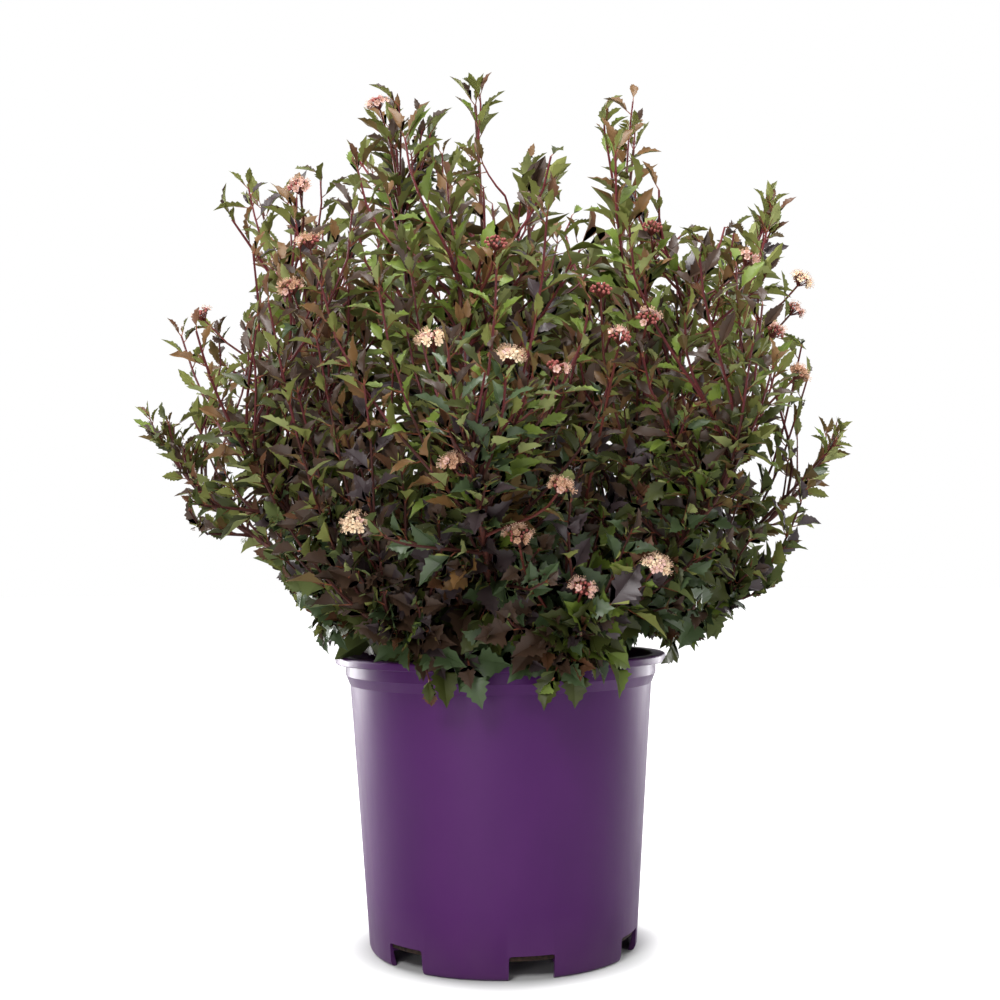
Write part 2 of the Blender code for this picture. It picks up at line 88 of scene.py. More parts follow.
POT_HEIGHT = 0.2415
LIP_RADIUS = 0.138
BAND_RADIUS = 0.1295
WALL = 0.0022
SOIL_EDGE = 0.2200
SOIL_TOP = 0.2270
SOIL_FLAT_RADIUS = 0.045
STOOL_RADIUS = 0.034
STOOL_HEIGHT = 0.030


class Tier(IntEnum):
    """Layers of the crown, from the rim of the container upwards."""

    LOW = 0
    SKIRT = 1
    SHOULDER = 2
    TOP = 3
    CENTRE = 4


@dataclass(frozen=True)
class Habit:
    """How the canes of one tier grow; angles are in degrees above the ground or off the stem."""

    start_rise: float
    tip_rise: float
    bare_share: float
    twig_lean: Span
    twig_share: Span
    leaf_spacing: float
    droop: float


HABITS = {
    Tier.LOW: Habit(24, 4, 0.36, (48, 72), (0.70, 0.30), 0.020, 0.45),
    Tier.SKIRT: Habit(32, 62, 0.22, (32, 52), (0.55, 0.30), 0.038, 0.12),
    Tier.SHOULDER: Habit(50, 78, 0.17, (26, 44), (0.5, 0.3), 0.046, 0.0),
    Tier.TOP: Habit(68, 86, 0.16, (24, 40), (0.5, 0.32), 0.048, 0.0),
    Tier.CENTRE: Habit(88, 88, 0.17, (24, 40), (0.45, 0.3), 0.048, 0.0),
}

# Tips of the canes by tier: bearing in degrees, reach and height
CANE_TIPS = {
    Tier.LOW: (
        (340, 0.215, 0.288), (27, 0.190, 0.275), (72, 0.180, 0.268), (115, 0.180, 0.268),
        (157, 0.190, 0.275), (200, 0.205, 0.300), (244, 0.172, 0.266), (290, 0.172, 0.264),
    ),
    Tier.SKIRT: (
        (4, 0.287, 0.418), (50, 0.256, 0.415), (94, 0.264, 0.420), (136, 0.256, 0.410),
        (178, 0.288, 0.425), (222, 0.250, 0.405), (266, 0.274, 0.395), (312, 0.258, 0.395),
    ),
    Tier.SHOULDER: (
        (10, 0.242, 0.630), (62, 0.200, 0.590), (112, 0.205, 0.600), (168, 0.212, 0.632),
        (212, 0.195, 0.540), (262, 0.185, 0.535), (316, 0.210, 0.540),
    ),
    Tier.TOP: (
        (18, 0.128, 0.680), (92, 0.105, 0.645), (158, 0.100, 0.700), (285, 0.095, 0.610),
    ),
    Tier.CENTRE: ((200, 0.018, 0.706),),
}
CANE_FOOT_RADIUS = 0.0034
CANE_JOINT_RADIUS = 0.0026
SHOOT_TIP_RADIUS = 0.0013
CANE_BOW = 0.05
CANE_START_PULL = 0.35
CANE_TIP_PULL = 0.38

FOLIAGE_START = 0.06
TWIG_SPACING = 0.065
FIRST_TWIG_AT = 0.4
FIRST_LEAF_AT = 0.6
LAST_TWIG_AT = 0.88
TWIG_TURN_SPREAD = 0.4
TWIG_REACH_SPREAD = (0.85, 1.1)
TWIG_BARE_SHARE = 0.25
TWIG_SHORTENING = 0.82
SHORTEST_TWIG = 0.030
STEM_LEAF_LENGTH = (0.088, 0.046)
TWIG_LEAF_LENGTH = (0.078, 0.046)
LEAF_SIZES = (1, 0.82, 0.64)
LEAF_SWINGS = (0, 2.1, 4.2)
LEAF_WIDTH_SHARE = 0.72
LEAF_WIDEST = 0.42
LEAF_FOLD = 0.13
LEAF_LEAN = (36, 58)
LEAF_LEAN_LOSS = 0.35
TIP_LEAF_LEAN = 0.12
TIP_LEAF_SIZE = 0.9
LEAF_ROOT_DEPTH = 0.001
LEAF_LENGTH_SPREAD = (0.9, 1.1)
LEAF_OUTWARD = 0.9
LEAF_TUMBLE = 0.35

SPACE_MARGIN = 0.0030
LIMB_CLEARANCE = 0.0062
RIM_CLEARANCE = 0.0035
CANE_SAMPLES = 64
# The crown's edge all round: height and radius
CROWN_EDGE = (
    (0.205, 0.165), (0.240, 0.172), (0.262, 0.192), (0.300, 0.240), (0.335, 0.285),
    (0.370, 0.308), (0.430, 0.322), (0.480, 0.312), (0.540, 0.280), (0.600, 0.265),
    (0.665, 0.248), (0.690, 0.155), (0.750, 0.120),
)
# The crown's outline from the front, laid on the plane through the axis: across and height
SKYLINE = (
    (-0.130, 0.192), (-0.152, 0.235), (-0.166, 0.275), (-0.182, 0.300), (-0.200, 0.318),
    (-0.222, 0.326), (-0.238, 0.336), (-0.280, 0.343), (-0.262, 0.366), (-0.288, 0.372),
    (-0.284, 0.396), (-0.316, 0.380), (-0.320, 0.452), (-0.290, 0.464), (-0.272, 0.450),
    (-0.262, 0.428), (-0.258, 0.442), (-0.284, 0.468), (-0.290, 0.492), (-0.304, 0.510),
    (-0.276, 0.534), (-0.252, 0.546), (-0.226, 0.526), (-0.228, 0.494), (-0.218, 0.492),
    (-0.222, 0.552), (-0.204, 0.560), (-0.208, 0.575), (-0.216, 0.604), (-0.256, 0.636),
    (-0.226, 0.668), (-0.178, 0.656), (-0.148, 0.676), (-0.134, 0.652), (-0.132, 0.690),
    (-0.118, 0.714), (-0.116, 0.742), (-0.058, 0.742), (-0.078, 0.722), (-0.079, 0.655),
    (-0.077, 0.716), (-0.041, 0.720), (-0.046, 0.690), (-0.049, 0.658), (-0.041, 0.690),
    (-0.050, 0.738), (-0.018, 0.745), (0.014, 0.738), (0.008, 0.704), (-0.006, 0.682),
    (-0.012, 0.655), (-0.012, 0.634), (0.002, 0.627), (0.010, 0.636), (0.014, 0.658),
    (0.028, 0.680), (0.048, 0.688), (0.068, 0.678), (0.070, 0.632), (0.082, 0.655),
    (0.084, 0.690), (0.096, 0.732), (0.134, 0.732), (0.146, 0.696), (0.146, 0.640),
    (0.148, 0.620), (0.165, 0.606), (0.212, 0.610), (0.224, 0.650), (0.262, 0.650),
    (0.256, 0.600), (0.262, 0.575), (0.286, 0.562), (0.270, 0.535), (0.262, 0.508),
    (0.280, 0.486), (0.264, 0.456), (0.257, 0.424), (0.252, 0.398), (0.266, 0.396),
    (0.270, 0.440), (0.290, 0.448), (0.318, 0.440), (0.306, 0.414), (0.292, 0.400),
    (0.284, 0.374), (0.276, 0.362), (0.288, 0.348), (0.286, 0.310), (0.262, 0.300),
    (0.236, 0.284), (0.212, 0.262), (0.188, 0.238), (0.140, 0.225), (0.128, 0.192),
)
# Gaps that show what lies behind, on the same plane: across, height and radius
GLIMPSES = (
    (-0.262, 0.435, 0.0055), (-0.155, 0.634, 0.0065), (-0.080, 0.660, 0.0060), (0.242, 0.378, 0.0065),
    (0.241, 0.528, 0.0060), (-0.134, 0.562, 0.0055), (-0.182, 0.596, 0.0065), (-0.245, 0.406, 0.0060),
    (-0.150, 0.615, 0.0050), (0.215, 0.380, 0.0045), (0.266, 0.351, 0.0040), (-0.286, 0.412, 0.0045),
    (-0.130, 0.249, 0.0055), (0.164, 0.488, 0.0055), (0.074, 0.599, 0.0050), (0.210, 0.594, 0.0045),
    (0.065, 0.627, 0.0055), (0.254, 0.332, 0.0045), (0.232, 0.354, 0.0040), (0.069, 0.583, 0.0045),
    (-0.141, 0.595, 0.0055), (-0.015, 0.603, 0.0055), (-0.215, 0.374, 0.0050), (0.244, 0.429, 0.0045),
    (-0.215, 0.468, 0.0045), (0.174, 0.524, 0.0040), (0.154, 0.577, 0.0045), (0.151, 0.547, 0.0045),
    (0.092, 0.249, 0.0070), (-0.080, 0.245, 0.0050), (0.118, 0.252, 0.0060), (0.115, 0.535, 0.0035),
    (-0.166, 0.543, 0.0035), (0.012, 0.606, 0.0035), (0.131, 0.244, 0.0090), (-0.124, 0.244, 0.0070),
    (-0.100, 0.241, 0.0060),
)


class Stage(Enum):
    """How far a blossom head has come."""

    BUD = "bud"
    OPENING = "opening"
    OPEN = "open"
    FADING = "fading"


# Blossom heads: bearing in degrees, distance from the axis, height and stage
HEADS = (
    (260, 0.255, 0.470, Stage.OPEN), (279, 0.258, 0.450, Stage.OPENING),
    (272, 0.258, 0.457, Stage.OPEN), (233, 0.245, 0.517, Stage.FADING),
    (294, 0.255, 0.486, Stage.OPENING), (235, 0.235, 0.551, Stage.FADING),
    (287, 0.245, 0.506, Stage.BUD), (289, 0.258, 0.472, Stage.OPENING),
    (263, 0.258, 0.387, Stage.FADING), (270, 0.235, 0.539, Stage.BUD),
    (246, 0.245, 0.347, Stage.OPEN), (273, 0.240, 0.338, Stage.FADING),
    (300, 0.225, 0.317, Stage.OPEN), (286, 0.212, 0.301, Stage.OPENING),
    (229, 0.222, 0.597, Stage.OPENING), (180, 0.254, 0.532, Stage.OPENING),
    (325, 0.235, 0.547, Stage.OPENING), (207, 0.110, 0.698, Stage.OPENING),
    (298, 0.235, 0.555, Stage.BUD), (325, 0.255, 0.490, Stage.OPENING),
    (333, 0.260, 0.462, Stage.FADING), (0, 0.261, 0.557, Stage.OPEN),
    (0, 0.270, 0.352, Stage.OPENING), (280, 0.247, 0.371, Stage.FADING),
)
HEAD_RADIUS = 0.0140
STALK_CLIMB = 0.6
HEAD_DEPTH = 0.009
HEAD_FACING = (0.4, 0.4, 0.7)
STALK_ARRIVAL = 0.35
# Shoots that stand clear of the others: bearing in degrees, distance from the axis and height
LEADERS = (
    (182, 0.210, 0.636), (176, 0.180, 0.628), (190, 0.150, 0.650), (196, 0.058, 0.696),
    (275, 0.060, 0.656), (320, 0.095, 0.632), (345, 0.120, 0.706), (335, 0.112, 0.690),
    (350, 0.200, 0.590), (6, 0.240, 0.624), (200, 0.088, 0.716), (350, 0.275, 0.380),
    (230, 0.020, 0.712), (330, 0.160, 0.590), (300, 0.075, 0.654), (190, 0.064, 0.700),
    (185, 0.072, 0.664), (181, 0.298, 0.452), (181, 0.285, 0.482), (183, 0.266, 0.472),
    (180, 0.262, 0.514), (1, 0.298, 0.434),
)
# Bearings of the shoots that hang over the rim, in degrees
OVERHANG = (217, 221, 248, 254, 261, 266, 273, 278, 286, 291, 303, 325)
OVERHANG_RADIUS = 0.152
OVERHANG_HEIGHT = 0.2448


def shade(red: int, green: int, blue: int) -> Colour:
    """Turns a screen colour into a linear one.

    Args:
        red: Red, 0 to 255.
        green: Green, 0 to 255.
        blue: Blue, 0 to 255.

    Returns:
        Linear red, green, blue and full alpha.
    """
    values = (v / 255 for v in (red, green, blue))
    return (*(v / 12.92 if v <= 0.04045 else ((v + 0.055) / 1.055) ** 2.4 for v in values), 1.0)


# Shader node groups


def tuned(node: Node, **values: float | Colour) -> Node:
    """Sets a node's inputs by name.

    Args:
        node: The node.
        **values: Input values, with underscores for the spaces of their names.

    Returns:
        The same node.
    """
    for label, value in values.items():
        node.inputs[label.replace("_", " ")].default_value = value
    return node


def added(nodes: Nodes, kind: str, operation: str = "", **values: float | Colour) -> Node:
    """Adds a shader node.

    Args:
        nodes: The nodes that it joins.
        kind: Its kind, without the words that every kind starts with.
        operation: What it works out, if it is a math node.
        **values: Input values, named as for tuned.

    Returns:
        The node.
    """
    node = nodes.new(f"ShaderNode{kind}")
    if operation:
        node.operation = operation
    return tuned(node, **values)


def join(first: Node, output: str | int, last: Node, socket: str | int) -> None:
    """Links an output of one node to an input of another."""
    first.id_data.links.new(first.outputs[output], last.inputs[socket])


def new_group(name: str, inputs: dict[str, float], outputs: Sequence[str]) -> NodeTree:
    """Makes a shader node group with named sockets.

    Args:
        name: The group's name.
        inputs: Name and default of each number that goes in.
        outputs: Name of each number that comes out.

    Returns:
        The group, with its input and output nodes named in and out.
    """
    group = bpy.data.node_groups.new(name, "ShaderNodeTree")
    for label, value in inputs.items():
        socket = group.interface.new_socket(label, in_out="INPUT", socket_type="NodeSocketFloat")
        socket.default_value = value
    for label in outputs:
        group.interface.new_socket(label, in_out="OUTPUT", socket_type="NodeSocketFloat")
    group.nodes.new("NodeGroupInput").name = "in"
    group.nodes.new("NodeGroupOutput").name = "out"
    return group


@cache
def grain_group() -> NodeTree:
    """Makes the uneven tone and relief that plastic, bark and mix share.

    Returns:
        A group that takes a scale, a stretch down the height and a contrast, and gives a
        mask from 0 to 1 and a height.
    """
    group = new_group("surface_grain", {"Scale": 60, "Stretch": 1, "Contrast": 1}, ("Mask", "Height"))
    nodes = group.nodes
    place = added(nodes, "TexCoord")
    scale = added(nodes, "CombineXYZ", X=1, Y=1)
    spread = added(nodes, "VectorMath", "MULTIPLY")
    texture = added(nodes, "TexNoise", Detail=6, Roughness=0.62)
    offset = added(nodes, "Math", "SUBTRACT")
    offset.inputs[1].default_value = 0.5
    centred = added(nodes, "Math", "MULTIPLY_ADD")
    centred.inputs[2].default_value = 0.5
    limit = added(nodes, "Clamp")
    join(nodes["in"], "Stretch", scale, "Z")
    join(place, "Object", spread, 0)
    join(scale, "Vector", spread, 1)
    join(spread, "Vector", texture, "Vector")
    join(nodes["in"], "Scale", texture, "Scale")
    join(texture, "Fac", offset, 0)
    join(offset, 0, centred, 0)
    join(nodes["in"], "Contrast", centred, 1)
    join(centred, 0, limit, "Value")
    join(limit, "Result", nodes["out"], "Mask")
    join(texture, "Fac", nodes["out"], "Height")
    return group


@cache
def dust_group() -> NodeTree:
    """Makes the dust that gathers towards a height, broken up by noise.

    Returns:
        A group that takes a clean height, a dusty height and an amount, and gives a mask.
    """
    group = new_group("settled_dust", {"Clean Height": 0.05, "Dusty Height": 0, "Amount": 0.3}, ("Mask",))
    nodes = group.nodes
    place = added(nodes, "TexCoord")
    split = added(nodes, "SeparateXYZ")
    ramp = added(nodes, "MapRange")
    patches = added(nodes, "TexNoise", Scale=38, Detail=5)
    broken = added(nodes, "Math", "MULTIPLY")
    amount = added(nodes, "Math", "MULTIPLY")
    join(place, "Object", split, "Vector")
    join(place, "Object", patches, "Vector")
    join(split, "Z", ramp, "Value")
    join(nodes["in"], "Clean Height", ramp, "From Min")
    join(nodes["in"], "Dusty Height", ramp, "From Max")
    join(ramp, "Result", broken, 0)
    join(patches, "Fac", broken, 1)
    join(broken, 0, amount, 0)
    join(nodes["in"], "Amount", amount, 1)
    join(amount, 0, nodes["out"], "Mask")
    return group


class Painter:
    """A new Principled material and the nodes that feed it."""

    def __init__(self, name: str, colour: Colour, roughness: float) -> None:
        """Starts a material.

        Args:
            name: The material's name.
            colour: Linear base colour.
            roughness: Roughness of the whole surface.
        """
        self.material = bpy.data.materials.new(name)
        self.material.use_nodes = True
        self.nodes = self.material.node_tree.nodes
        self.links = self.material.node_tree.links
        self.shader = tuned(self.nodes["Principled BSDF"], Base_Color=colour, Roughness=roughness)

    def group(self, group: NodeTree, **values: float) -> Node:
        """Places a shared group with its own values.

        Args:
            group: The group.
            **values: Input values, named as for tuned.

        Returns:
            The group's node.
        """
        node = added(self.nodes, "Group")
        node.node_tree = group
        return tuned(node, **values)

    def mix(self, mask: NodeSocket, first: NodeSocket | Colour, second: NodeSocket | Colour) -> NodeSocket:
        """Mixes two colours by a mask.

        Args:
            mask: Output that gives 0 for the first colour and 1 for the second.
            first: A colour, or an output that gives one.
            second: A colour, or an output that gives one.

        Returns:
            The mixed colour's output.
        """
        node = added(self.nodes, "Mix")
        node.data_type = "RGBA"
        self.links.new(mask, node.inputs["Factor"])
        for socket, value in ((node.inputs[6], first), (node.inputs[7], second)):
            if isinstance(value, NodeSocket):
                self.links.new(value, socket)
            else:
                socket.default_value = value
        return node.outputs[2]

    def ranged(self, value: NodeSocket, low: float, high: float) -> NodeSocket:
        """Maps a mask to a range.

        Args:
            value: Output from 0 to 1.
            low: Result at 0.
            high: Result at 1.

        Returns:
            The mapped number's output.
        """
        node = added(self.nodes, "MapRange", To_Min=low, To_Max=high)
        self.links.new(value, node.inputs["Value"])
        return node.outputs["Result"]

    def bump(self, height: NodeSocket, distance: float, strength: float) -> None:
        """Gives the surface relief.

        Args:
            height: Output from 0 to 1.
            distance: Depth of the relief in metres.
            strength: Share of it that shows.
        """
        node = added(self.nodes, "Bump", Distance=distance, Strength=strength)
        self.links.new(height, node.inputs["Height"])
        self.feed("Normal", node.outputs["Normal"])

    def feed(self, socket: str, output: NodeSocket) -> None:
        """Lets an output set an input of the shader."""
        self.links.new(output, self.shader.inputs[socket])


@dataclass(frozen=True)
class PlasticFinish:
    """Moulded purple plastic with a faint orange peel and a little dust at its foot."""

    name: str = "purple_plastic"
    colour: Colour = shade(74, 23, 88)
    deep_colour: Colour = shade(64, 18, 79)
    dust_colour: Colour = shade(104, 80, 104)
    roughness: Span = (0.31, 0.46)
    gloss: float = 0.25
    dust_height: float = 0.050
    dust_amount: float = 0.34
    peel_depth: float = 0.00006

    def make(self) -> Material:
        """Builds the material.

        Returns:
            The material.
        """
        paint = Painter(self.name, self.colour, self.roughness[0])
        tuned(paint.shader, Specular_IOR_Level=self.gloss)
        cloud = paint.group(grain_group(), Scale=9, Stretch=0.5, Contrast=2.2)
        peel = paint.group(grain_group(), Scale=950, Stretch=1, Contrast=1)
        scuff = paint.group(grain_group(), Scale=46, Stretch=0.25, Contrast=2.4)
        dust = paint.group(
            dust_group(), Clean_Height=self.dust_height, Dusty_Height=0, Amount=self.dust_amount
        )
        tone = paint.mix(cloud.outputs["Mask"], self.colour, self.deep_colour)
        paint.feed("Base Color", paint.mix(dust.outputs["Mask"], tone, self.dust_colour))
        paint.feed("Roughness", paint.ranged(scuff.outputs["Mask"], *self.roughness))
        paint.bump(peel.outputs["Height"], self.peel_depth, 0.55)
        return paint.material


@dataclass(frozen=True)
class GrainFinish:
    """A dull natural surface of two tones, such as bark, woody chips or crumbs of mix."""

    name: str
    light: Colour
    dark: Colour
    roughness: float
    scale: float
    stretch: float
    relief: float
    contrast: float = 3.2
    gloss: float = 0.35
    rougher: float = 0.08
    smoother: float = 0.06

    def make(self) -> Material:
        """Builds the material.

        Returns:
            The material.
        """
        paint = Painter(self.name, self.light, self.roughness)
        tuned(paint.shader, Specular_IOR_Level=self.gloss)
        grain = paint.group(grain_group(), Scale=self.scale, Stretch=self.stretch, Contrast=self.contrast)
        mask = grain.outputs["Mask"]
        paint.feed("Base Color", paint.mix(mask, self.dark, self.light))
        rough, smooth = self.roughness + self.rougher, self.roughness - self.smoother
        paint.feed("Roughness", paint.ranged(mask, rough, smooth))
        paint.bump(grain.outputs["Height"], self.relief, 0.8)
        return paint.material


@dataclass(frozen=True)
class PlantFinish:
    """A plain living surface: a leaf, a young shoot, a petal."""

    name: str
    colour: Colour
    roughness: float
    gloss: float = 0.5

    def make(self) -> Material:
        """Builds the material.

        Returns:
            The material.
        """
        paint = Painter(self.name, self.colour, self.roughness)
        tuned(paint.shader, Specular_IOR_Level=self.gloss)
        return paint.material


class Tint(Enum):
    """Upper sides of leaves, dealt out by spray."""

    PURPLE_BROWN = PlantFinish("leaf_purple_brown", shade(62, 45, 34), 0.46, 0.30)
    SMOKY_PURPLE = PlantFinish("leaf_smoky_purple", shade(59, 48, 50), 0.40, 0.38)
    DARK_OLIVE = PlantFinish("leaf_dark_olive", shade(58, 63, 25), 0.46, 0.28)
    DEEP_GREEN = PlantFinish("leaf_deep_green", shade(64, 79, 50), 0.40, 0.38)
    MOSS_GREEN = PlantFinish("leaf_moss_green", shade(96, 112, 42), 0.5, 0.22)
    BRONZE = PlantFinish("leaf_bronze", shade(102, 74, 42), 0.5, 0.22)
    YOUNG_RED = PlantFinish("leaf_young_red", shade(88, 58, 38), 0.48, 0.22)


class Underside(Enum):
    """Undersides of leaves, paler and duller than their upper sides."""

    OLIVE = PlantFinish("underside_olive", shade(126, 130, 70), 0.64, 0.15)
    PALE = PlantFinish("underside_pale", shade(146, 152, 96), 0.66, 0.15)
    RUSSET = PlantFinish("underside_russet", shade(104, 86, 52), 0.64, 0.15)
    # A darker copy of the olive underside for the low leaves: painted shade
    PAINTED_SHADE = PlantFinish("underside_painted_shade", shade(94, 104, 60), 0.64, 0.15)


TINTS = list(Tint)
UNDERSIDES = list(Underside)
LOW_MIX = {Tint.DEEP_GREEN: 0.48, Tint.DARK_OLIVE: 0.32, Tint.SMOKY_PURPLE: 0.10, Tint.PURPLE_BROWN: 0.10}
HIGH_MIX = {
    Tint.PURPLE_BROWN: 0.26, Tint.DARK_OLIVE: 0.22, Tint.MOSS_GREEN: 0.25, Tint.BRONZE: 0.11,
    Tint.SMOKY_PURPLE: 0.16,
}
YOUNG_BARK = PlantFinish("young_bark", shade(110, 48, 52), 0.5, 0.22)
RED_BARK = PlantFinish("red_bark", shade(88, 38, 40), 0.54, 0.2)
BROWN_BARK = PlantFinish("brown_bark", shade(66, 34, 30), 0.58, 0.18)
LEAF_STALK = PlantFinish("leaf_stalk", shade(118, 66, 46), 0.52, 0.2)
BLOSSOM_STALK = PlantFinish("blossom_stalk", shade(92, 44, 38), 0.52, 0.2)
CREAM_PETAL = PlantFinish("cream_petal", shade(238, 216, 184), 0.62, 0.2)
PINK_PETAL = PlantFinish("pink_petal", shade(216, 178, 168), 0.62, 0.2)
FADED_PETAL = PlantFinish("faded_petal", shade(178, 138, 112), 0.66, 0.2)
STAMEN = PlantFinish("stamen", shade(220, 184, 156), 0.55, 0.2)
PETALS = (CREAM_PETAL, PINK_PETAL, FADED_PETAL)
STAGE_PETALS = {
    Stage.BUD: PINK_PETAL,
    Stage.OPENING: PINK_PETAL,
    Stage.OPEN: CREAM_PETAL,
    Stage.FADING: FADED_PETAL,
}
BUD_SKIN = PlantFinish("bud_skin", shade(150, 82, 76), 0.56, 0.2)
FLOWER_CUP = PlantFinish("flower_cup", shade(120, 92, 50), 0.60, 0.2)
CANE_BARK = GrainFinish("cane_bark", shade(102, 54, 44), shade(58, 30, 28), 0.6, 320, 0.12, 0.0004)
OLD_BARK = GrainFinish("old_bark", shade(120, 92, 72), shade(58, 38, 30), 0.80, 240, 0.2, 0.0009)
BARK_CHIP = GrainFinish("bark_chip", shade(112, 78, 56), shade(44, 28, 20), 0.86, 420, 1, 0.0004)
MIX_CRUMB = GrainFinish("mix_crumb", shade(58, 42, 32), shade(24, 17, 13), 0.95, 300, 1, 0.0014)


# Meshes


def placed(name: str, data: ID) -> Object:
    """Puts a mesh, a light or a camera in the scene.

    Args:
        name: The object's name.
        data: What it shows.

    Returns:
        The object, at the origin.
    """
    made = bpy.data.objects.new(name, data)
    bpy.context.scene.collection.objects.link(made)
    return made


def triangle_mesh(
    name: str,
    corners: np.ndarray,
    triangles: np.ndarray,
    finishes: Sequence[Material],
    parts: np.ndarray | None = None,
) -> Object:
    """Makes an object from arrays of corners and triangles.

    Args:
        name: The object's name.
        corners: One row of three metres for each corner.
        triangles: One row of three corner numbers for each triangle.
        finishes: The materials.
        parts: Which material each triangle has; the first if left out.

    Returns:
        The object, smooth but for its sharp edges.
    """
    mesh = bpy.data.meshes.new(name)
    mesh.vertices.add(len(corners))
    mesh.vertices.foreach_set("co", corners.astype(np.float32).ravel())
    mesh.loops.add(triangles.size)
    mesh.loops.foreach_set("vertex_index", triangles.astype(np.int32).ravel())
    mesh.polygons.add(len(triangles))
    mesh.polygons.foreach_set("loop_start", np.arange(0, triangles.size, 3, dtype=np.int32))
    mesh.polygons.foreach_set("use_smooth", np.ones(len(triangles), bool))
    for finish in finishes:
        mesh.materials.append(finish)
    if parts is not None:
        mesh.polygons.foreach_set("material_index", parts.astype(np.int32))
    mesh.update(calc_edges=True)
    mesh.validate()
    mesh.set_sharp_from_angle(angle=LEAF_SHARP_ANGLE)
    return placed(name, mesh)


def object_from(
    bm: bmesh.types.BMesh, name: str, finish: Material, smooth: bool = True
) -> Object:
    """Turns a bmesh into an object and frees it.

    Args:
        bm: The finished shape, in its place.
        name: The object's name.
        finish: Its material.
        smooth: Whether its rounded parts are shaded smooth.

    Returns:
        The object.
    """
    mesh = bpy.data.meshes.new(name)
    bm.to_mesh(mesh)
    bm.free()
    mesh.materials.append(finish)
    if smooth:
        mesh.shade_smooth()
        mesh.set_sharp_from_angle(angle=SHARP_ANGLE)
    return placed(name, mesh)


def in_order(mesh: Mesh) -> Mesh:
    """Rebuilds a mesh with corners and faces in one order, which a cut leaves open.

    Args:
        mesh: A mesh of one material.

    Returns:
        The same shape, built the same way each time.
    """
    places = [tuple(corner.co) for corner in mesh.vertices]
    order = sorted(range(len(places)), key=lambda corner: places[corner])
    number = {corner: k for k, corner in enumerate(order)}
    faces = []
    for face in mesh.polygons:
        loop = [number[corner] for corner in face.vertices]
        first = loop.index(min(loop))
        faces.append((loop[first:] + loop[:first], face.use_smooth))
    faces.sort()
    made = bpy.data.meshes.new(mesh.name)
    made.from_pydata([places[corner] for corner in order], [], [loop for loop, _ in faces])
    made.polygons.foreach_set("use_smooth", [smooth for _, smooth in faces])
    made.materials.append(mesh.materials[0])
    return made


def across(heading: Vector) -> tuple[Vector, Vector]:
    """Gives two directions square to a heading and to each other."""
    side = heading.cross(UP if abs(heading.z) < STEEP else Vector((1, 0, 0))).normalized()
    return side, side.cross(heading)


def turned(side: Vector, front: Vector, angle: float) -> Vector:
    """Gives the direction at an angle from side towards front."""
    return side * math.cos(angle) + front * math.sin(angle)


def leaned(heading: Vector, lean: float, turn: float) -> Vector:
    """Gives the direction that leans off a heading by an angle, turned round it."""
    return (heading * math.cos(lean) + turned(*across(heading), turn) * math.sin(lean)).normalized()


def along_line(first: Vector, last: Vector, count: int) -> list[Vector]:
    """Gives evenly spaced points between two, both ends in."""
    return [first.lerp(last, k / (count - 1)) for k in range(count)]


@dataclass
class Tubes:
    """Canes, twigs and stalks gathered as closed tubes for one piece."""

    corners: list[np.ndarray] = field(default_factory=list)
    triangles: list[np.ndarray] = field(default_factory=list)
    parts: list[np.ndarray] = field(default_factory=list)
    count: int = 0
    ridge_size: float = 3
    ridge_run: float = 0.35

    def ridge(self, angle: float, ring: int) -> float:
        """Height of the bark's ridges at an angle of a ring, about 0."""
        place = (self.ridge_size * math.cos(angle), self.ridge_size * math.sin(angle))
        return noise.noise(Vector((*place, ring * self.ridge_run + self.count)))

    def add(self, points: Sequence[Vector], radii: Sequence[float], sides: int, relief: float = 0.0) -> None:
        """Adds one tube with closed ends, of the first material.

        Args:
            points: Its centre line.
            radii: Its radius at each point.
            sides: Sides of its section.
            relief: Depth of the bark's ridges as a share of the radius.
        """
        line = np.array([tuple(p) for p in points])
        slope = np.gradient(line, axis=0)
        slope /= np.linalg.norm(slope, axis=1)[:, None]
        side = np.cross(slope[0], (0.0, 0.0, 1.0) if abs(slope[0][2]) < STEEP else (1.0, 0.0, 0.0))
        angles = np.arange(sides) * 2 * math.pi / sides
        rings = []
        for k, (place, way, radius) in enumerate(zip(line, slope, radii)):
            side = side - way * side.dot(way)
            side /= np.linalg.norm(side)
            front = np.cross(way, side)
            swell = np.ones(sides)
            if relief:
                swell += relief * np.array([self.ridge(angle, k) for angle in angles])
            reach = (radius * swell)[:, None]
            rings.append(place + reach * (np.cos(angles)[:, None] * side + np.sin(angles)[:, None] * front))
        corners = np.vstack([*rings, line[:1], line[-1:]])
        here, after = np.arange(sides), (np.arange(sides) + 1) % sides
        faces = []
        for k in range(len(points) - 1):
            low, high = k * sides, (k + 1) * sides
            faces.append(np.stack([low + here, low + after, high + after], 1))
            faces.append(np.stack([low + here, high + after, high + here], 1))
        last = (len(points) - 1) * sides
        foot, tip = len(corners) - 2, len(corners) - 1
        faces.append(np.stack([after, here, np.full(sides, foot)], 1))
        faces.append(np.stack([last + here, last + after, np.full(sides, tip)], 1))
        self.corners.append(corners)
        self.triangles.append(np.vstack(faces) + self.count)
        self.parts.append(np.zeros(len(self.triangles[-1]), int))
        self.count += len(corners)

    def make(self, name: str, *finishes: Material) -> Object:
        """Builds the piece."""
        corners, triangles = np.vstack(self.corners), np.vstack(self.triangles)
        return triangle_mesh(name, corners, triangles, finishes, np.concatenate(self.parts))


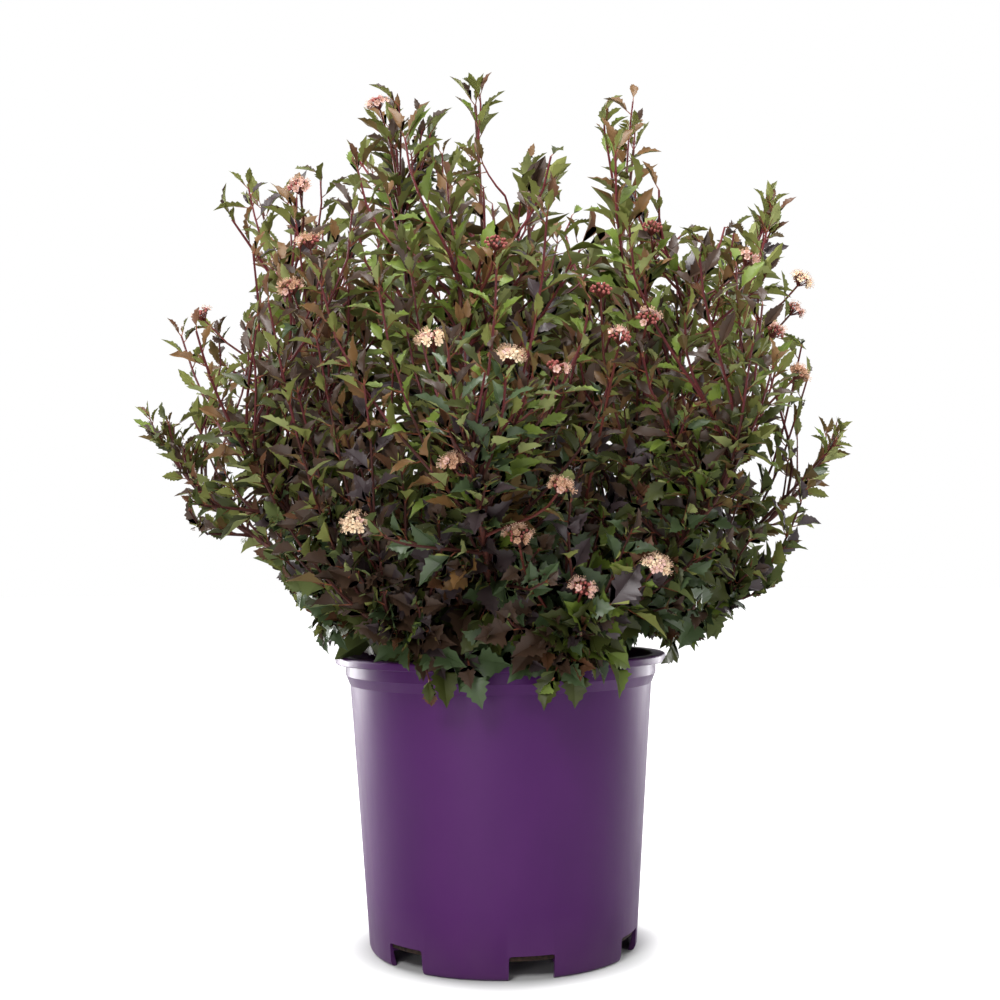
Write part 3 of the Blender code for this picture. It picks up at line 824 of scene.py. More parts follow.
@dataclass(frozen=True)
class Blade:
    """A thin closed blade's outline: how far along and how wide, for a slim and a broad one."""

    along: tuple[float, ...]
    slim: tuple[float, ...]
    broad: tuple[float, ...]
    rib: tuple[float, ...]

    def pattern(self) -> tuple[np.ndarray, ...]:
        """Works out the blade's corners and triangles.

        Returns:
            How far along each corner is, its signed slim width and broad width, its layer (0 on
            the rim, 1 on the upper side, -1 below), its pleat (1 in the margin's notches, -1 on
            its teeth, 0 elsewhere), and the triangles with their own layer as a fourth number.
        """
        edge, rib = len(self.along), len(self.rib)
        along = [0.0, 1.0, *self.along, *self.along, *self.rib, *self.rib]
        slim = [0.0, 0.0, *self.slim, *(-w for w in self.slim), *([0.0] * rib * 2)]
        broad = [0.0, 0.0, *self.broad, *(-w for w in self.broad), *([0.0] * rib * 2)]
        layer = [0.0] * (2 + 2 * edge) + [1.0] * rib + [-1.0] * rib
        pleat = [0.0, 0.0, *([-1.0, 1.0] * edge)[:edge] * 2, *([0.0] * rib * 2)]
        faces = []
        for side in (0, 1):
            rim = [0, *range(2 + side * edge, 2 + side * edge + edge), 1]
            for level in (0, 1):
                start = 2 + 2 * edge + level * rib
                middle = [0, *range(start, start + rib), 1]
                i = k = 0
                while i < len(rim) - 1 or k < len(middle) - 1:
                    rim_next = along[rim[i + 1]] if i < len(rim) - 1 else FAR
                    rib_next = along[middle[k + 1]] if k < len(middle) - 1 else FAR
                    if rim_next <= rib_next:
                        face = [middle[k], rim[i + 1], rim[i]]
                        i += 1
                    else:
                        face = [middle[k], middle[k + 1], rim[i]]
                        k += 1
                    if len(set(face)) == 3:
                        up = self.upward(face, along, broad)
                        if up != (level == 0):
                            face.reverse()
                        faces.append([*face, 1 if level == 0 else -1])
        return tuple(np.array(values) for values in (along, slim, broad, layer, pleat, faces))

    @staticmethod
    def upward(face: Sequence[int], along: Sequence[float], wide: Sequence[float]) -> bool:
        """Tells whether a triangle runs anticlockwise seen from above."""
        (x0, y0), (x1, y1), (x2, y2) = ((along[c], wide[c]) for c in face)
        return (x1 - x0) * (y2 - y0) - (x2 - x0) * (y1 - y0) > 0


LOBED_BLADE = Blade(
    along=(0.05, 0.14, 0.21, 0.27, 0.36, 0.41, 0.49, 0.55, 0.63, 0.69, 0.78, 0.84),
    slim=(0.03, 0.115, 0.155, 0.132, 0.200, 0.170, 0.220, 0.145, 0.168, 0.112, 0.118, 0.060),
    broad=(0.08, 0.215, 0.275, 0.235, 0.355, 0.300, 0.405, 0.240, 0.285, 0.185, 0.190, 0.090),
    rib=(0.28, 0.62),
)
SLIM_BLADE = Blade(
    along=(0.12, 0.27, 0.32, 0.43, 0.47, 0.59, 0.64, 0.78, 0.83),
    slim=(0.052, 0.132, 0.116, 0.182, 0.146, 0.162, 0.116, 0.108, 0.068),
    broad=(0.12, 0.225, 0.198, 0.300, 0.228, 0.255, 0.172, 0.165, 0.095),
    rib=(0.30, 0.62),
)
PLAIN_BLADE = Blade(
    along=(0.12, 0.33, 0.46, 0.56, 0.80),
    slim=(0.055, 0.145, 0.190, 0.140, 0.110),
    broad=(0.12, 0.230, 0.310, 0.210, 0.160),
    rib=(0.5,),
)
PETAL_BLADE = Blade(along=(0.30, 0.70, 0.95), slim=(0.24, 0.42, 0.24), broad=(0.24, 0.42, 0.24), rib=(0.6,))


@dataclass(frozen=True)
class Layer:
    """Leaves joined into one piece: those that start below its top and above the layer before."""

    piece: str
    top: float
    blade: Blade
    pleat: float


LEAF_LAYERS = (
    Layer("rim_leaves", 0.29, LOBED_BLADE, 0.013),
    Layer("low_leaves", 0.345, LOBED_BLADE, 0.013),
    Layer("skirt_leaves", 0.40, LOBED_BLADE, 0.013),
    Layer("middle_leaves", 0.50, SLIM_BLADE, 0.008),
    Layer("high_leaves", math.inf, SLIM_BLADE, 0.008),
)


@dataclass
class Blades:
    """Leaves or petals gathered for one piece."""

    blade: Blade
    thickness: float
    pleat: float = 0.0
    wave_depth: float = 0.030
    waves: float = 11
    wave_shift: float = 2
    curl_pull: float = 0.35
    rows: list[tuple[float, ...]] = field(default_factory=list)
    parts: list[tuple[int, int]] = field(default_factory=list)

    def add(
        self,
        root: Vector,
        along: Vector,
        face: Vector,
        length: float,
        breadth: float,
        curl: float,
        fold: float,
        wave: float,
        parts: tuple[int, int],
    ) -> None:
        """Adds one blade.

        Args:
            root: Where it starts.
            along: Its direction.
            face: The way its upper side faces, square to along.
            length: Its length.
            breadth: 0 for a slim blade, 1 for a broad one.
            curl: How far its tip bends down, as a share of its length.
            fold: Rise of its sides from the rib, as a slope.
            wave: Phase of the waves in its margin.
            parts: Material numbers of its upper side and underside.
        """
        self.rows.append((*root, *along, *face, length, breadth, curl, fold, wave))
        self.parts.append(parts)

    def make(self, name: str, finishes: Sequence[Material]) -> Object:
        """Builds the piece.

        Args:
            name: The piece's name.
            finishes: Its materials, in the order that the blades' parts name.

        Returns:
            The object.
        """
        along, slim, broad, layer, pleat, faces = self.blade.pattern()
        rows = np.array(self.rows)
        root, way, face = rows[:, None, 0:3], rows[:, None, 3:6], rows[:, None, 6:9]
        length, breadth, curl, fold, wave = (rows[:, k, None] for k in range(9, 14))
        side = np.cross(face, way)
        wide = slim + (broad - slim) * breadth
        rise = fold * np.abs(wide) - curl * along**2
        waves = np.sin(wave + self.waves * along + self.wave_shift * np.sign(wide))
        rise = rise + self.wave_depth * waves * np.sign(np.abs(wide)) + self.pleat * pleat
        forward = along * (1 - self.curl_pull * curl * along)
        lift = length * rise + layer * self.thickness / 2
        corners = root + way * (length * forward)[..., None] + side * (length * wide)[..., None]
        corners = corners + face * lift[..., None]
        shift = (np.arange(len(rows)) * len(along))[:, None, None]
        triangles = (faces[None, :, :3] + shift).reshape(-1, 3)
        parts = np.array(self.parts)
        chosen = np.where(faces[None, :, 3] > 0, parts[:, :1], parts[:, 1:]).reshape(-1)
        return triangle_mesh(name, corners.reshape(-1, 3), triangles, finishes, chosen)


# Growth


@dataclass(frozen=True)
class Curve:
    """A smooth line between four control points, the way of a cane, a twig or a stalk."""

    controls: tuple[Vector, Vector, Vector, Vector]

    def place(self, share: float) -> Vector:
        """Works out a place on the curve.

        Args:
            share: How far along it, from 0 to 1.

        Returns:
            The place.
        """
        a, b, c, d = self.controls
        rest = 1 - share
        return a * rest**3 + b * (3 * rest * rest * share) + c * (3 * rest * share * share) + d * share**3

    def aim(self, share: float) -> Vector:
        """Works out the curve's direction.

        Args:
            share: How far along it, from 0 to 1.

        Returns:
            The direction, one metre long.
        """
        a, b, c, d = self.controls
        rest = 1 - share
        slope = (b - a) * rest * rest + (c - b) * (2 * rest * share) + (d - c) * share * share
        return slope.normalized()

    def length(self, first: float = 0.0) -> float:
        """Length of the curve after a share of it, from eight chords."""
        spots = [self.place(first + (1 - first) * k / 8) for k in range(9)]
        return sum((b - a).length for a, b in zip(spots, spots[1:]))

    def until(self, share: float) -> "Curve":
        """Cuts the curve short.

        Args:
            share: How much of it is kept, from 0 to 1.

        Returns:
            The first part.
        """
        a, b, c, d = self.controls
        ab, bc, cd = a.lerp(b, share), b.lerp(c, share), c.lerp(d, share)
        abc, bcd = ab.lerp(bc, share), bc.lerp(cd, share)
        return Curve((a, ab, abc, abc.lerp(bcd, share)))

    def after(self, share: float) -> "Curve":
        """The part of the curve after a share of it."""
        return Curve(Curve(self.controls[::-1]).until(1 - share).controls[::-1])

    def spots(self, count: int) -> list[Vector]:
        """Evenly spaced places on the curve, both ends in."""
        return [self.place(k / (count - 1)) for k in range(count)]


@dataclass
class Cane:
    """One cane, from the stem base to the tip of its leading shoot."""

    number: int
    tier: Tier
    bearing: float
    reach: float
    height: float
    curve: Curve = field(init=False)

    def __post_init__(self) -> None:
        """Works out the cane's curve."""
        draw = random.Random(SEED * 1000 + self.number)
        turn = math.radians(self.bearing)
        outward = Vector((math.cos(turn), math.sin(turn), 0))
        rise = math.radians(self.habit.start_rise)
        out_part, up_part = math.cos(rise), math.sin(rise)
        foot = UP * (SOIL_TOP + CLEARANCE)
        skin = foot + outward * STOOL_RADIUS * out_part + UP * STOOL_HEIGHT * up_part
        leave = (outward * out_part / STOOL_RADIUS + UP * up_part / STOOL_HEIGHT).normalized()
        start = skin + leave * CLEARANCE
        tip = outward * self.reach + UP * self.height
        span = (tip - start).length
        tip_rise = math.radians(self.habit.tip_rise)
        arrive = outward * math.cos(tip_rise) + UP * math.sin(tip_rise)
        sideways = outward.cross(UP) * span * draw.uniform(-CANE_BOW, CANE_BOW)
        bend = tip - arrive * span * CANE_TIP_PULL + sideways
        self.curve = Curve((start, start + leave * span * CANE_START_PULL, bend, tip))

    @property
    def habit(self) -> Habit:
        """How this cane's tier grows."""
        return HABITS[self.tier]

    def leafy_point(self, share: float) -> Vector:
        """Place on the leafy part of the cane."""
        bare = self.habit.bare_share
        return self.curve.place(bare + (1 - bare) * (FOLIAGE_START + (1 - FOLIAGE_START) * share))

    def leafy_heading(self, share: float) -> Vector:
        """Direction of the leafy part of the cane."""
        bare = self.habit.bare_share
        return self.curve.aim(bare + (1 - bare) * share)


class Room:
    """The room that each mass of foliage keeps to, set by the canes and the container."""

    def __init__(self, canes: Sequence[Cane]) -> None:
        """Samples the canes.

        Args:
            canes: All canes of the shrub.
        """
        shares = np.linspace(0, 1, CANE_SAMPLES)
        self.lines = np.array([[tuple(cane.curve.place(s)) for s in shares] for cane in canes])
        self.bare = [line[shares <= cane.habit.bare_share] for line, cane in zip(self.lines, canes)]
        self.skyline = np.array(SKYLINE)
        self.glimpses = np.array(GLIMPSES)

    def holds(self, number: int, points: Iterable[Vector]) -> bool:
        """Tells whether points lie in a mass's room, clear of limbs and of the container.

        Args:
            number: The mass's cane.
            points: The points.

        Returns:
            Whether all of them do.
        """
        spots = np.array([tuple(p) for p in points])
        gaps = np.linalg.norm(self.lines[:, :, None, :] - spots, axis=3).min(axis=1)
        own = gaps[number]
        others = np.delete(gaps, number, axis=0).min(axis=0)
        limb = np.linalg.norm(self.bare[number][:, None, :] - spots, axis=2).min()
        if (others < own + SPACE_MARGIN).any() or others.min() < LIMB_CLEARANCE:
            return False
        return limb > LIMB_CLEARANCE and all(self.clear_of_pot(p) and self.in_crown(p) for p in spots)

    def nearest_cane(self, place: Vector) -> int:
        """Number of the cane nearest a point."""
        return int(np.linalg.norm(self.lines - np.array(tuple(place)), axis=2).min(axis=1).argmin())

    @staticmethod
    def clear_of_pot(spot: Sequence[float]) -> bool:
        """Tells whether a point is clear of the container.

        Args:
            spot: The point.

        Returns:
            Whether it is above the rim, outside it, or in the mouth above the mix.
        """
        radius = math.hypot(spot[0], spot[1])
        above = spot[2] > POT_HEIGHT + RIM_CLEARANCE
        outside = radius > LIP_RADIUS + RIM_CLEARANCE
        in_mouth = radius < BAND_RADIUS - WALL - RIM_CLEARANCE and spot[2] > SOIL_TOP + RIM_CLEARANCE
        return above or outside or in_mouth

    def in_sight(self, spot: Sequence[float]) -> bool:
        """Tells whether a point lies inside the crown's edge as the front view shows it.

        Args:
            spot: The point.

        Returns:
            Whether it is inside the outline and off the gaps in it.
        """
        near, eye_height = -Studio.camera_place[1], Studio.camera_place[2]
        share = near / (near + spot[1])
        x = spot[0] * share
        z = eye_height + (spot[2] - eye_height) * share
        first, last = self.skyline, np.roll(self.skyline, -1, axis=0)
        spans = (first[:, 1] > z) != (last[:, 1] > z)
        climb = np.where(spans, last[:, 1] - first[:, 1], 1)
        cut = first[:, 0] + (z - first[:, 1]) / climb * (last[:, 0] - first[:, 0])
        glimpsed = (np.hypot(self.glimpses[:, 0] - x, self.glimpses[:, 1] - z) < self.glimpses[:, 2]).any()
        return bool(np.count_nonzero(spans & (cut > x)) % 2) and not glimpsed

    def open_to(self, spots: Iterable[Vector]) -> bool:
        """Tells whether fine growth may reach points: in the crown, in sight and off the container."""
        return all(self.clear_of_pot(p) and self.in_crown(p) and self.in_sight(p) for p in spots)

    @staticmethod
    def in_crown(spot: Sequence[float]) -> bool:
        """Tells whether a point is inside the crown's edge.

        Args:
            spot: The point.

        Returns:
            Whether it is.
        """
        heights, radii = zip(*CROWN_EDGE)
        inside = math.hypot(spot[0], spot[1]) < np.interp(spot[2], heights, radii)
        return inside and heights[0] < spot[2] < heights[-1]


@dataclass(frozen=True)
class Spray:
    """A side shoot of small leaves: where it starts, its way, the way it faces and its length."""

    root: Vector
    along: Vector
    face: Vector
    length: float


@dataclass(frozen=True)
class Head:
    """A blossom head on its stalk."""

    start: Vector
    centre: Vector
    stage: Stage

    def way(self) -> Vector:
        """Works out the way the head faces.

        Returns:
            Its direction, one metre long.
        """
        outward = Vector((self.centre.x, self.centre.y, 0)).normalized()
        onward, out, up = HEAD_FACING
        return ((self.centre - self.start).normalized() * onward + outward * out + UP * up).normalized()

    def stalk(self) -> Curve:
        """Works out the stalk.

        Returns:
            Its line, which ends under the head.
        """
        base = self.centre - self.way() * HEAD_DEPTH
        span = (base - self.start).length
        straight = (base - self.start).normalized()
        bend = base - self.way() * span * STALK_ARRIVAL
        return Curve((self.start, self.start + straight * span / 3, bend, base))


@dataclass
class Mass:
    """What grows on one cane."""

    cane: Cane
    sprays: list[Spray] = field(default_factory=list)
    twigs: list[tuple[Vector, Vector]] = field(default_factory=list)
    heads: list[Head] = field(default_factory=list)


@dataclass
class Grower:
    """Grows the masses by the seeded rule of the shrub's solids."""

    room: Room

    def spray(
        self,
        cane: Cane,
        draw: random.Random,
        root: Vector,
        heading: Vector,
        lean: float,
        turn: float,
        length: float,
    ) -> list[Spray]:
        """Grows one side shoot where it keeps to the room, turned or smaller if it has to be.

        Args:
            cane: The cane it belongs to.
            draw: The seeded draws.
            root: Where it starts.
            heading: The way of the shoot that carries it.
            lean: Its angle off that way.
            turn: Its angle round that way.
            length: Its length before the draws.

        Returns:
            The side shoot, or nothing where there is no room.
        """
        outward = Vector((root.x, root.y, 0)).normalized()
        droop = UP * cane.habit.droop * draw.uniform(0.5, 1)
        tumble = Vector([draw.uniform(-LEAF_TUMBLE, LEAF_TUMBLE) for _ in range(3)])
        length *= draw.uniform(*LEAF_LENGTH_SPREAD)
        for size in LEAF_SIZES:
            for swing in LEAF_SWINGS:
                along = (leaned(heading, lean, turn + swing) - droop).normalized()
                face = heading + outward * LEAF_OUTWARD + tumble
                face = (face - along * face.dot(along)).normalized()
                if self.room.holds(cane.number, self.outline(root, along, face, length * size)):
                    return [Spray(root, along, face, length * size)]
        return []

    @staticmethod
    def outline(root: Vector, along: Vector, face: Vector, length: float) -> list[Vector]:
        """Gives test points on the outline and midrib of the room that a side shoot takes.

        Args:
            root: Where it starts.
            along: Its direction.
            face: The way its leaves face.
            length: Its length.

        Returns:
            The points.
        """
        side = along.cross(face).normalized()
        half = length * LEAF_WIDTH_SHARE / 2
        widest = root + along * length * LEAF_WIDEST - face * half * LEAF_FOLD
        left, right, tip = widest + side * half, widest - side * half, root + along * length
        return along_line(root, tip, 5)[1:] + along_line(left, tip, 3)[:-1] + along_line(right, tip, 3)[:-1]

    def shoot(
        self,
        cane: Cane,
        draw: random.Random,
        place_at: Callable[[float], Vector],
        aim_at: Callable[[float], Vector],
        length: float,
        sizes: Span,
    ) -> list[Spray]:
        """Grows side shoots in a spiral up a shoot, smaller towards its tip, and one that ends it.

        Args:
            cane: The cane it belongs to.
            draw: The seeded draws.
            place_at: Place on the shoot by share.
            aim_at: Direction of the shoot by share.
            length: Length of the shoot.
            sizes: Length of the first and of the last side shoot.

        Returns:
            The side shoots.
        """
        first, last = sizes
        grown = []
        count = max(2, round(length / cane.habit.leaf_spacing))
        turn = draw.uniform(0, 2 * math.pi)
        for k in range(count):
            share = (k + FIRST_LEAF_AT) / count
            turn += GOLDEN_ANGLE
            lean = math.radians(draw.uniform(*LEAF_LEAN)) * (1 - LEAF_LEAN_LOSS * share)
            size = first + (last - first) * share
            grown += self.spray(cane, draw, place_at(share), aim_at(share), lean, turn, size)
        tip = place_at(1) - aim_at(1) * LEAF_ROOT_DEPTH
        return grown + self.spray(cane, draw, tip, aim_at(1), TIP_LEAF_LEAN, turn, last * TIP_LEAF_SIZE)

    def mass(self, cane: Cane) -> Mass:
        """Grows the twigs, side shoots and blossom heads of one cane.

        Args:
            cane: The cane.

        Returns:
            What grows on it.
        """
        grown, length = Mass(cane), cane.curve.length(cane.habit.bare_share)
        draw = random.Random(SEED * 2000 + cane.number)
        grown.sprays += self.shoot(cane, draw, cane.leafy_point, cane.leafy_heading, length, STEM_LEAF_LENGTH)
        count = max(3, round(length / TWIG_SPACING))
        leafy = 1 - TWIG_BARE_SHARE
        for k in range(count):
            draw = random.Random(SEED * 3000 + cane.number * 50 + k)
            share = (k + FIRST_TWIG_AT) / count * LAST_TWIG_AT
            start, heading = cane.leafy_point(share), cane.leafy_heading(share)
            lean = math.radians(draw.uniform(*cane.habit.twig_lean))
            turn = k * GOLDEN_ANGLE + cane.number + draw.uniform(-TWIG_TURN_SPREAD, TWIG_TURN_SPREAD)
            way = leaned(heading, lean, turn)
            long_share, shrink = cane.habit.twig_share
            reach = length * (long_share - shrink * share) * draw.uniform(*TWIG_REACH_SPREAD)
            while reach > SHORTEST_TWIG:
                end = start + way * reach
                if self.room.holds(cane.number, along_line(start, end, 6)[2:]):
                    grown.twigs.append((start, end))
                    grown.sprays += self.shoot(
                        cane,
                        draw,
                        lambda s, a=start, line=way * reach: a + line * (TWIG_BARE_SHARE + leafy * s),
                        lambda s, w=way: w,
                        reach * leafy,
                        TWIG_LEAF_LENGTH,
                    )
                    break
                reach *= TWIG_SHORTENING
        grown.heads = self.heads(cane)
        return grown

    @staticmethod
    def all_heads() -> Iterable[tuple[Vector, Stage]]:
        """Goes through the blossom heads, those seen in front and those behind.

        Yields:
            Centre and stage of each.
        """
        turned_round = [(bearing + 180, reach, height, stage) for bearing, reach, height, stage in HEADS[::3]]
        for bearing, reach, height, stage in (*HEADS, *turned_round):
            turn = math.radians(bearing)
            yield Vector((reach * math.cos(turn), reach * math.sin(turn), height)), stage

    def heads(self, cane: Cane) -> list[Head]:
        """Grows the blossom heads that lie nearest one cane.

        Args:
            cane: The cane.

        Returns:
            Its heads, each where there is room for it.
        """
        grown = []
        for centre, stage in self.all_heads():
            if self.room.nearest_cane(centre) != cane.number:
                continue
            bare = cane.habit.bare_share
            spots = [cane.curve.place(bare + (1 - bare) * k / 20) for k in range(1, 20)]
            lower = [
                p for p in spots if centre.z - p.z > STALK_CLIMB * math.hypot(centre.x - p.x, centre.y - p.y)
            ]
            if not lower:
                continue
            start = min(lower, key=lambda p: (centre - p).length)
            way = (centre - start).normalized()
            edge = [centre + side * HEAD_RADIUS for side in (*across(way), *(-a for a in across(way)))]
            if self.room.holds(cane.number, along_line(start, centre, 5)[2:] + edge):
                grown.append(Head(start, centre, stage))
        return grown


# Pieces of the plant


def dress(piece: Object, slot: str, *nodes: str) -> None:
    """Fixes a piece to the body and reports it.

    Args:
        piece: The piece.
        slot: The slot of its finish; not used.
        *nodes: The solids that it stands for.
    """
    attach(piece, BODY)
    if nodes:
        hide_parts(*nodes)
    log.info("%s: %d faces", piece.name, len(piece.data.polygons))


@dataclass
class Foliage:
    """Twigs, leaf stalks and life-size leaves of the whole crown."""

    canes: Sequence[Cane]
    room: Room
    # Space between leaves
    stem_leaf_step: float = 0.0110
    twig_leaf_step: float = 0.0105
    side_leaf_step: float = 0.0090
    shoot_leaf_step: float = 0.0098
    inner_step: float = 1.5
    longest_gap: float = 0.026
    # Heights and depths of the crown
    low_height: float = 0.25
    high_height: float = 0.58
    dark_below: float = 0.40
    rim_height: float = 0.27
    sparse_above: float = 0.59
    sparse_share: float = 0.5
    fill_ceiling: float = 0.61
    inner_share: float = 0.55
    shell: float = 0.42
    # Size and shape of a leaf
    lengths: Ramp = ((0.23, 0.27, 0.33, 0.45, 0.60), (0.046, 0.039, 0.030, 0.029, 0.034))
    length_spread: Span = (0.84, 1.16)
    inner_size: float = 1.4
    breadth: Span = (0.8, 1.7)
    breadth_spread: float = 0.25
    half_width: Span = (0.18, 0.2)
    widest: float = 0.45
    curls: Span = (0.04, 0.32)
    folds: Span = (0.35, 0.95)
    leaf_thickness: float = 0.00035
    # The way of a leaf
    leaf_lean: Span = (20, 48)
    high_lean: float = 0.42
    droop: Span = (0.05, 0.55)
    high_droop: float = 0.06
    facing: Span = (0.8, 0.65)
    tumble: float = 0.35
    stalk_share: float = 0.20
    stalk_radii: Span = (0.00055, 0.0002)
    stalk_end: Span = (0.3, 0.1)
    # Colours
    # Share of each underside, and how much more it gets low down; the last, darker one is painted shade
    underside_and_shade_shares: tuple[Span, ...] = ((0.55, -0.4), (0.3, -0.3), (0.15, -0.1), (0, 1))
    side_reach: float = 0.25
    side_shares: Span = (0.52, 0.28)
    # Extra light moss green at the right of the rim: partly real mid-green leaves, partly a painted highlight
    # for their sheen
    rim_moss_and_highlight: float = 0.16
    bark_changes: tuple[float, ...] = (0.40, 0.53)
    # Leaves along a shoot, in its axils and at its tip
    shrink: Span = (0.32, 0.18)
    retry_size: float = 0.85
    tuft_share: float = 0.19
    tuft_turn: float = 0.7
    tuft_lean: Span = (14, 34)
    tuft_size: Span = (0.34, 0.5)
    tip_leaves: int = 3
    tip_turn: float = 2.1
    tip_lean: Span = (8, 34)
    tip_size: Span = (0.4, 0.6)
    tip_growth: float = 0.4
    # Side shoots and twigs
    side_length: float = 0.50
    side_lift: Ramp = ((0.27, 0.40), (-0.1, 0.9))
    side_size: Span = (0.5, 6)
    side_bare: float = 0.1
    side_end: float = 0.66
    side_radii: Span = (0.0010, 0.0006)
    twig_bow: float = 0.006
    twig_bare: float = 0.12
    twig_radii: Span = (0.0017, 0.0009)
    joint_gap: float = 0.0015
    # Fine shoots
    shoot_tries: int = 9000
    shoot_spacing: Ramp = ((0.35, 0.6), (0.0275, 0.043))
    shoot_rise: Ramp = ((0.21, 0.24, 0.30, 0.38, 0.55), (-60, -12, 35, 62, 80))
    shoot_pulls: Span = (0.35, 0.4)
    shoot_radii: Span = (0.0014, 0.0008)
    shortest_shoot: float = 0.03
    least_bare: float = 0.1
    leafy_reach: Ramp = ((0.44, 0.54), (0.215, 0.150))
    open_side: float = 0.19
    open_height: float = 0.50
    open_spacing: Span = (1.5, 2.1)
    leader_ranks: tuple[int, ...] = (0, 3, 8, 15, 25, 40, 60, 85, 115, 150)
    foot_shares: tuple[float, float, int] = (0.10, 0.92, 30)
    foot_climb: Ramp = ((0.24, 0.30, 0.36, 0.46), (-0.6, 0.2, 0.9, 1.5))
    foot_cost: float = 0.025
    # Blossom heads
    head_view: float = 0.0118
    head_back: float = 0.006
    head_leaf_size: float = 0.8
    head_stalk_bare: float = 0.3
    # What grows
    cane_ends: dict[int, float] = field(default_factory=dict)
    joints: list[Vector] = field(default_factory=list)
    feet: list[tuple[Vector, Vector]] = field(default_factory=list)
    foot_uses: np.ndarray = field(default_factory=lambda: np.zeros(0))
    ceiling: float = field(default_factory=lambda: cad_box[1].z)
    twigs: Tubes = field(default_factory=Tubes)
    stalks: Tubes = field(default_factory=Tubes)
    leaves: dict[str, Blades] = field(default_factory=dict)
    count: int = 0
    heads: np.ndarray = field(default_factory=lambda: np.array([tuple(c) for c, _ in Grower.all_heads()]))

    def height_share(self, height: float) -> float:
        """How far up the crown a height is, from 0 low down to 1 high up."""
        return min(1, max(0, (height - self.low_height) / (self.high_height - self.low_height)))

    def pick(self, draw: random.Random, place: Vector) -> int:
        """Picks a spray's tint: greener low down and to the right, more purple to the left, with extra moss
        green at the right of the rim that is partly a painted highlight.

        Args:
            draw: The seeded draws.
            place: Where the spray is.

        Returns:
            The tint's number.
        """
        mix = dict(HIGH_MIX if draw.random() < self.height_share(place.z) else LOW_MIX)
        lean = max(-1.0, min(1.0, place.x / self.side_reach))
        mix[Tint.MOSS_GREEN] = mix.get(Tint.MOSS_GREEN, 0) + max(0.0, lean) * self.side_shares[1]
        mix[Tint.PURPLE_BROWN] = mix.get(Tint.PURPLE_BROWN, 0) + max(0.0, -lean) * self.side_shares[0]
        # Lighter moss-green leaves at the right of the rim: partly real, partly a painted highlight for their
        # sheen
        if place.z < self.rim_height and place.x > 0:
            mix[Tint.MOSS_GREEN] += self.rim_moss_and_highlight
        return TINTS.index(draw.choices(list(mix), list(mix.values()))[0])

    def leaf(
        self,
        draw: random.Random,
        root: Vector,
        heading: Vector,
        lean: float,
        turn: float,
        size: float,
        tint: int,
    ) -> bool:
        """Adds one leaf on its stalk, unless it would touch the container or leave the crown.

        Args:
            draw: The seeded draws.
            root: Where its stalk starts.
            heading: The way of the shoot that carries it.
            lean: Its angle off that way.
            turn: Its angle round that way.
            size: Share of the full length at its height.
            tint: Number of its tint.

        Returns:
            Whether it was added.
        """
        share = self.height_share(root.z)
        length = float(np.interp(root.z, *self.lengths)) * size * draw.uniform(*self.length_spread)
        inside = self.is_inside(root)
        if inside:
            length *= self.inner_size
        outward = Vector((root.x, root.y, 0)).normalized()
        droop = UP * ((1 - share) ** 2 * draw.uniform(*self.droop) + self.high_droop * draw.random())
        along = (leaned(heading, lean, turn) - droop).normalized()
        tumble = Vector([draw.uniform(-self.tumble, self.tumble) for _ in range(3)])
        face = heading + outward * (self.facing[0] - self.facing[1] * share) + tumble
        face = (face - along * face.dot(along)).normalized()
        wider = draw.uniform(-self.breadth_spread, self.breadth_spread)
        breadth = min(1, max(0, self.breadth[0] - share * self.breadth[1] + wider))
        curl, fold = draw.uniform(*self.curls), draw.uniform(*self.folds)
        low = 1 - min(1, share * 2)
        wave = draw.uniform(0, NEARLY_A_TURN)
        # Low down the darker underside takes over: painted shade
        shares = [usual + more * low for usual, more in self.underside_and_shade_shares]
        under = draw.choices(range(len(UNDERSIDES)), shares)[0]
        base = root + along * length * self.stalk_share
        tip = base + along * length
        side = face.cross(along) * length * (self.half_width[0] + self.half_width[1] * breadth)
        middle = base + along * length * self.widest
        spots = (base, middle, tip, middle + side, middle - side)
        if tip.z > self.ceiling or self.hides_head(spots) or not self.room.open_to(spots):
            return False
        layer = next(layer for layer in LEAF_LAYERS if root.z <= layer.top)
        made = Blades(PLAIN_BLADE if inside else layer.blade, self.leaf_thickness, layer.pleat)
        blades = self.leaves.setdefault("inner_leaves" if inside else layer.piece, made)
        blades.add(base, along, face, length, breadth, curl, fold, wave, (tint, len(TINTS) + under))
        reach, depth = self.stalk_end
        vein = base + along * length * reach - face * (self.leaf_thickness + length * curl * depth)
        self.stalks.add([root, vein], self.stalk_radii, 3)
        self.count += 1
        return True

    def is_inside(self, place: Vector) -> bool:
        """Tells whether a place is so deep in the crown that it is only glimpsed."""
        edge = float(np.interp(place.z, *zip(*CROWN_EDGE)))
        return math.hypot(place.x, place.y) < self.inner_share * edge and place.z < self.fill_ceiling

    def hides_head(self, spots: Iterable[Vector]) -> bool:
        """Tells whether a leaf or shoot would stand in front of a blossom head, seen from outside.

        Args:
            spots: Points of it.

        Returns:
            Whether one of them is before a head.
        """
        gaps = np.array([tuple(p) for p in spots])[:, None, :] - self.heads
        outward = self.heads * (1, 1, 0) / np.linalg.norm(self.heads[:, :2], axis=1)[:, None]
        before = (gaps * outward).sum(axis=2)
        aside = np.linalg.norm(gaps - outward * before[..., None], axis=2)
        return bool(((before > -self.head_back) & (aside < self.head_view)).any())

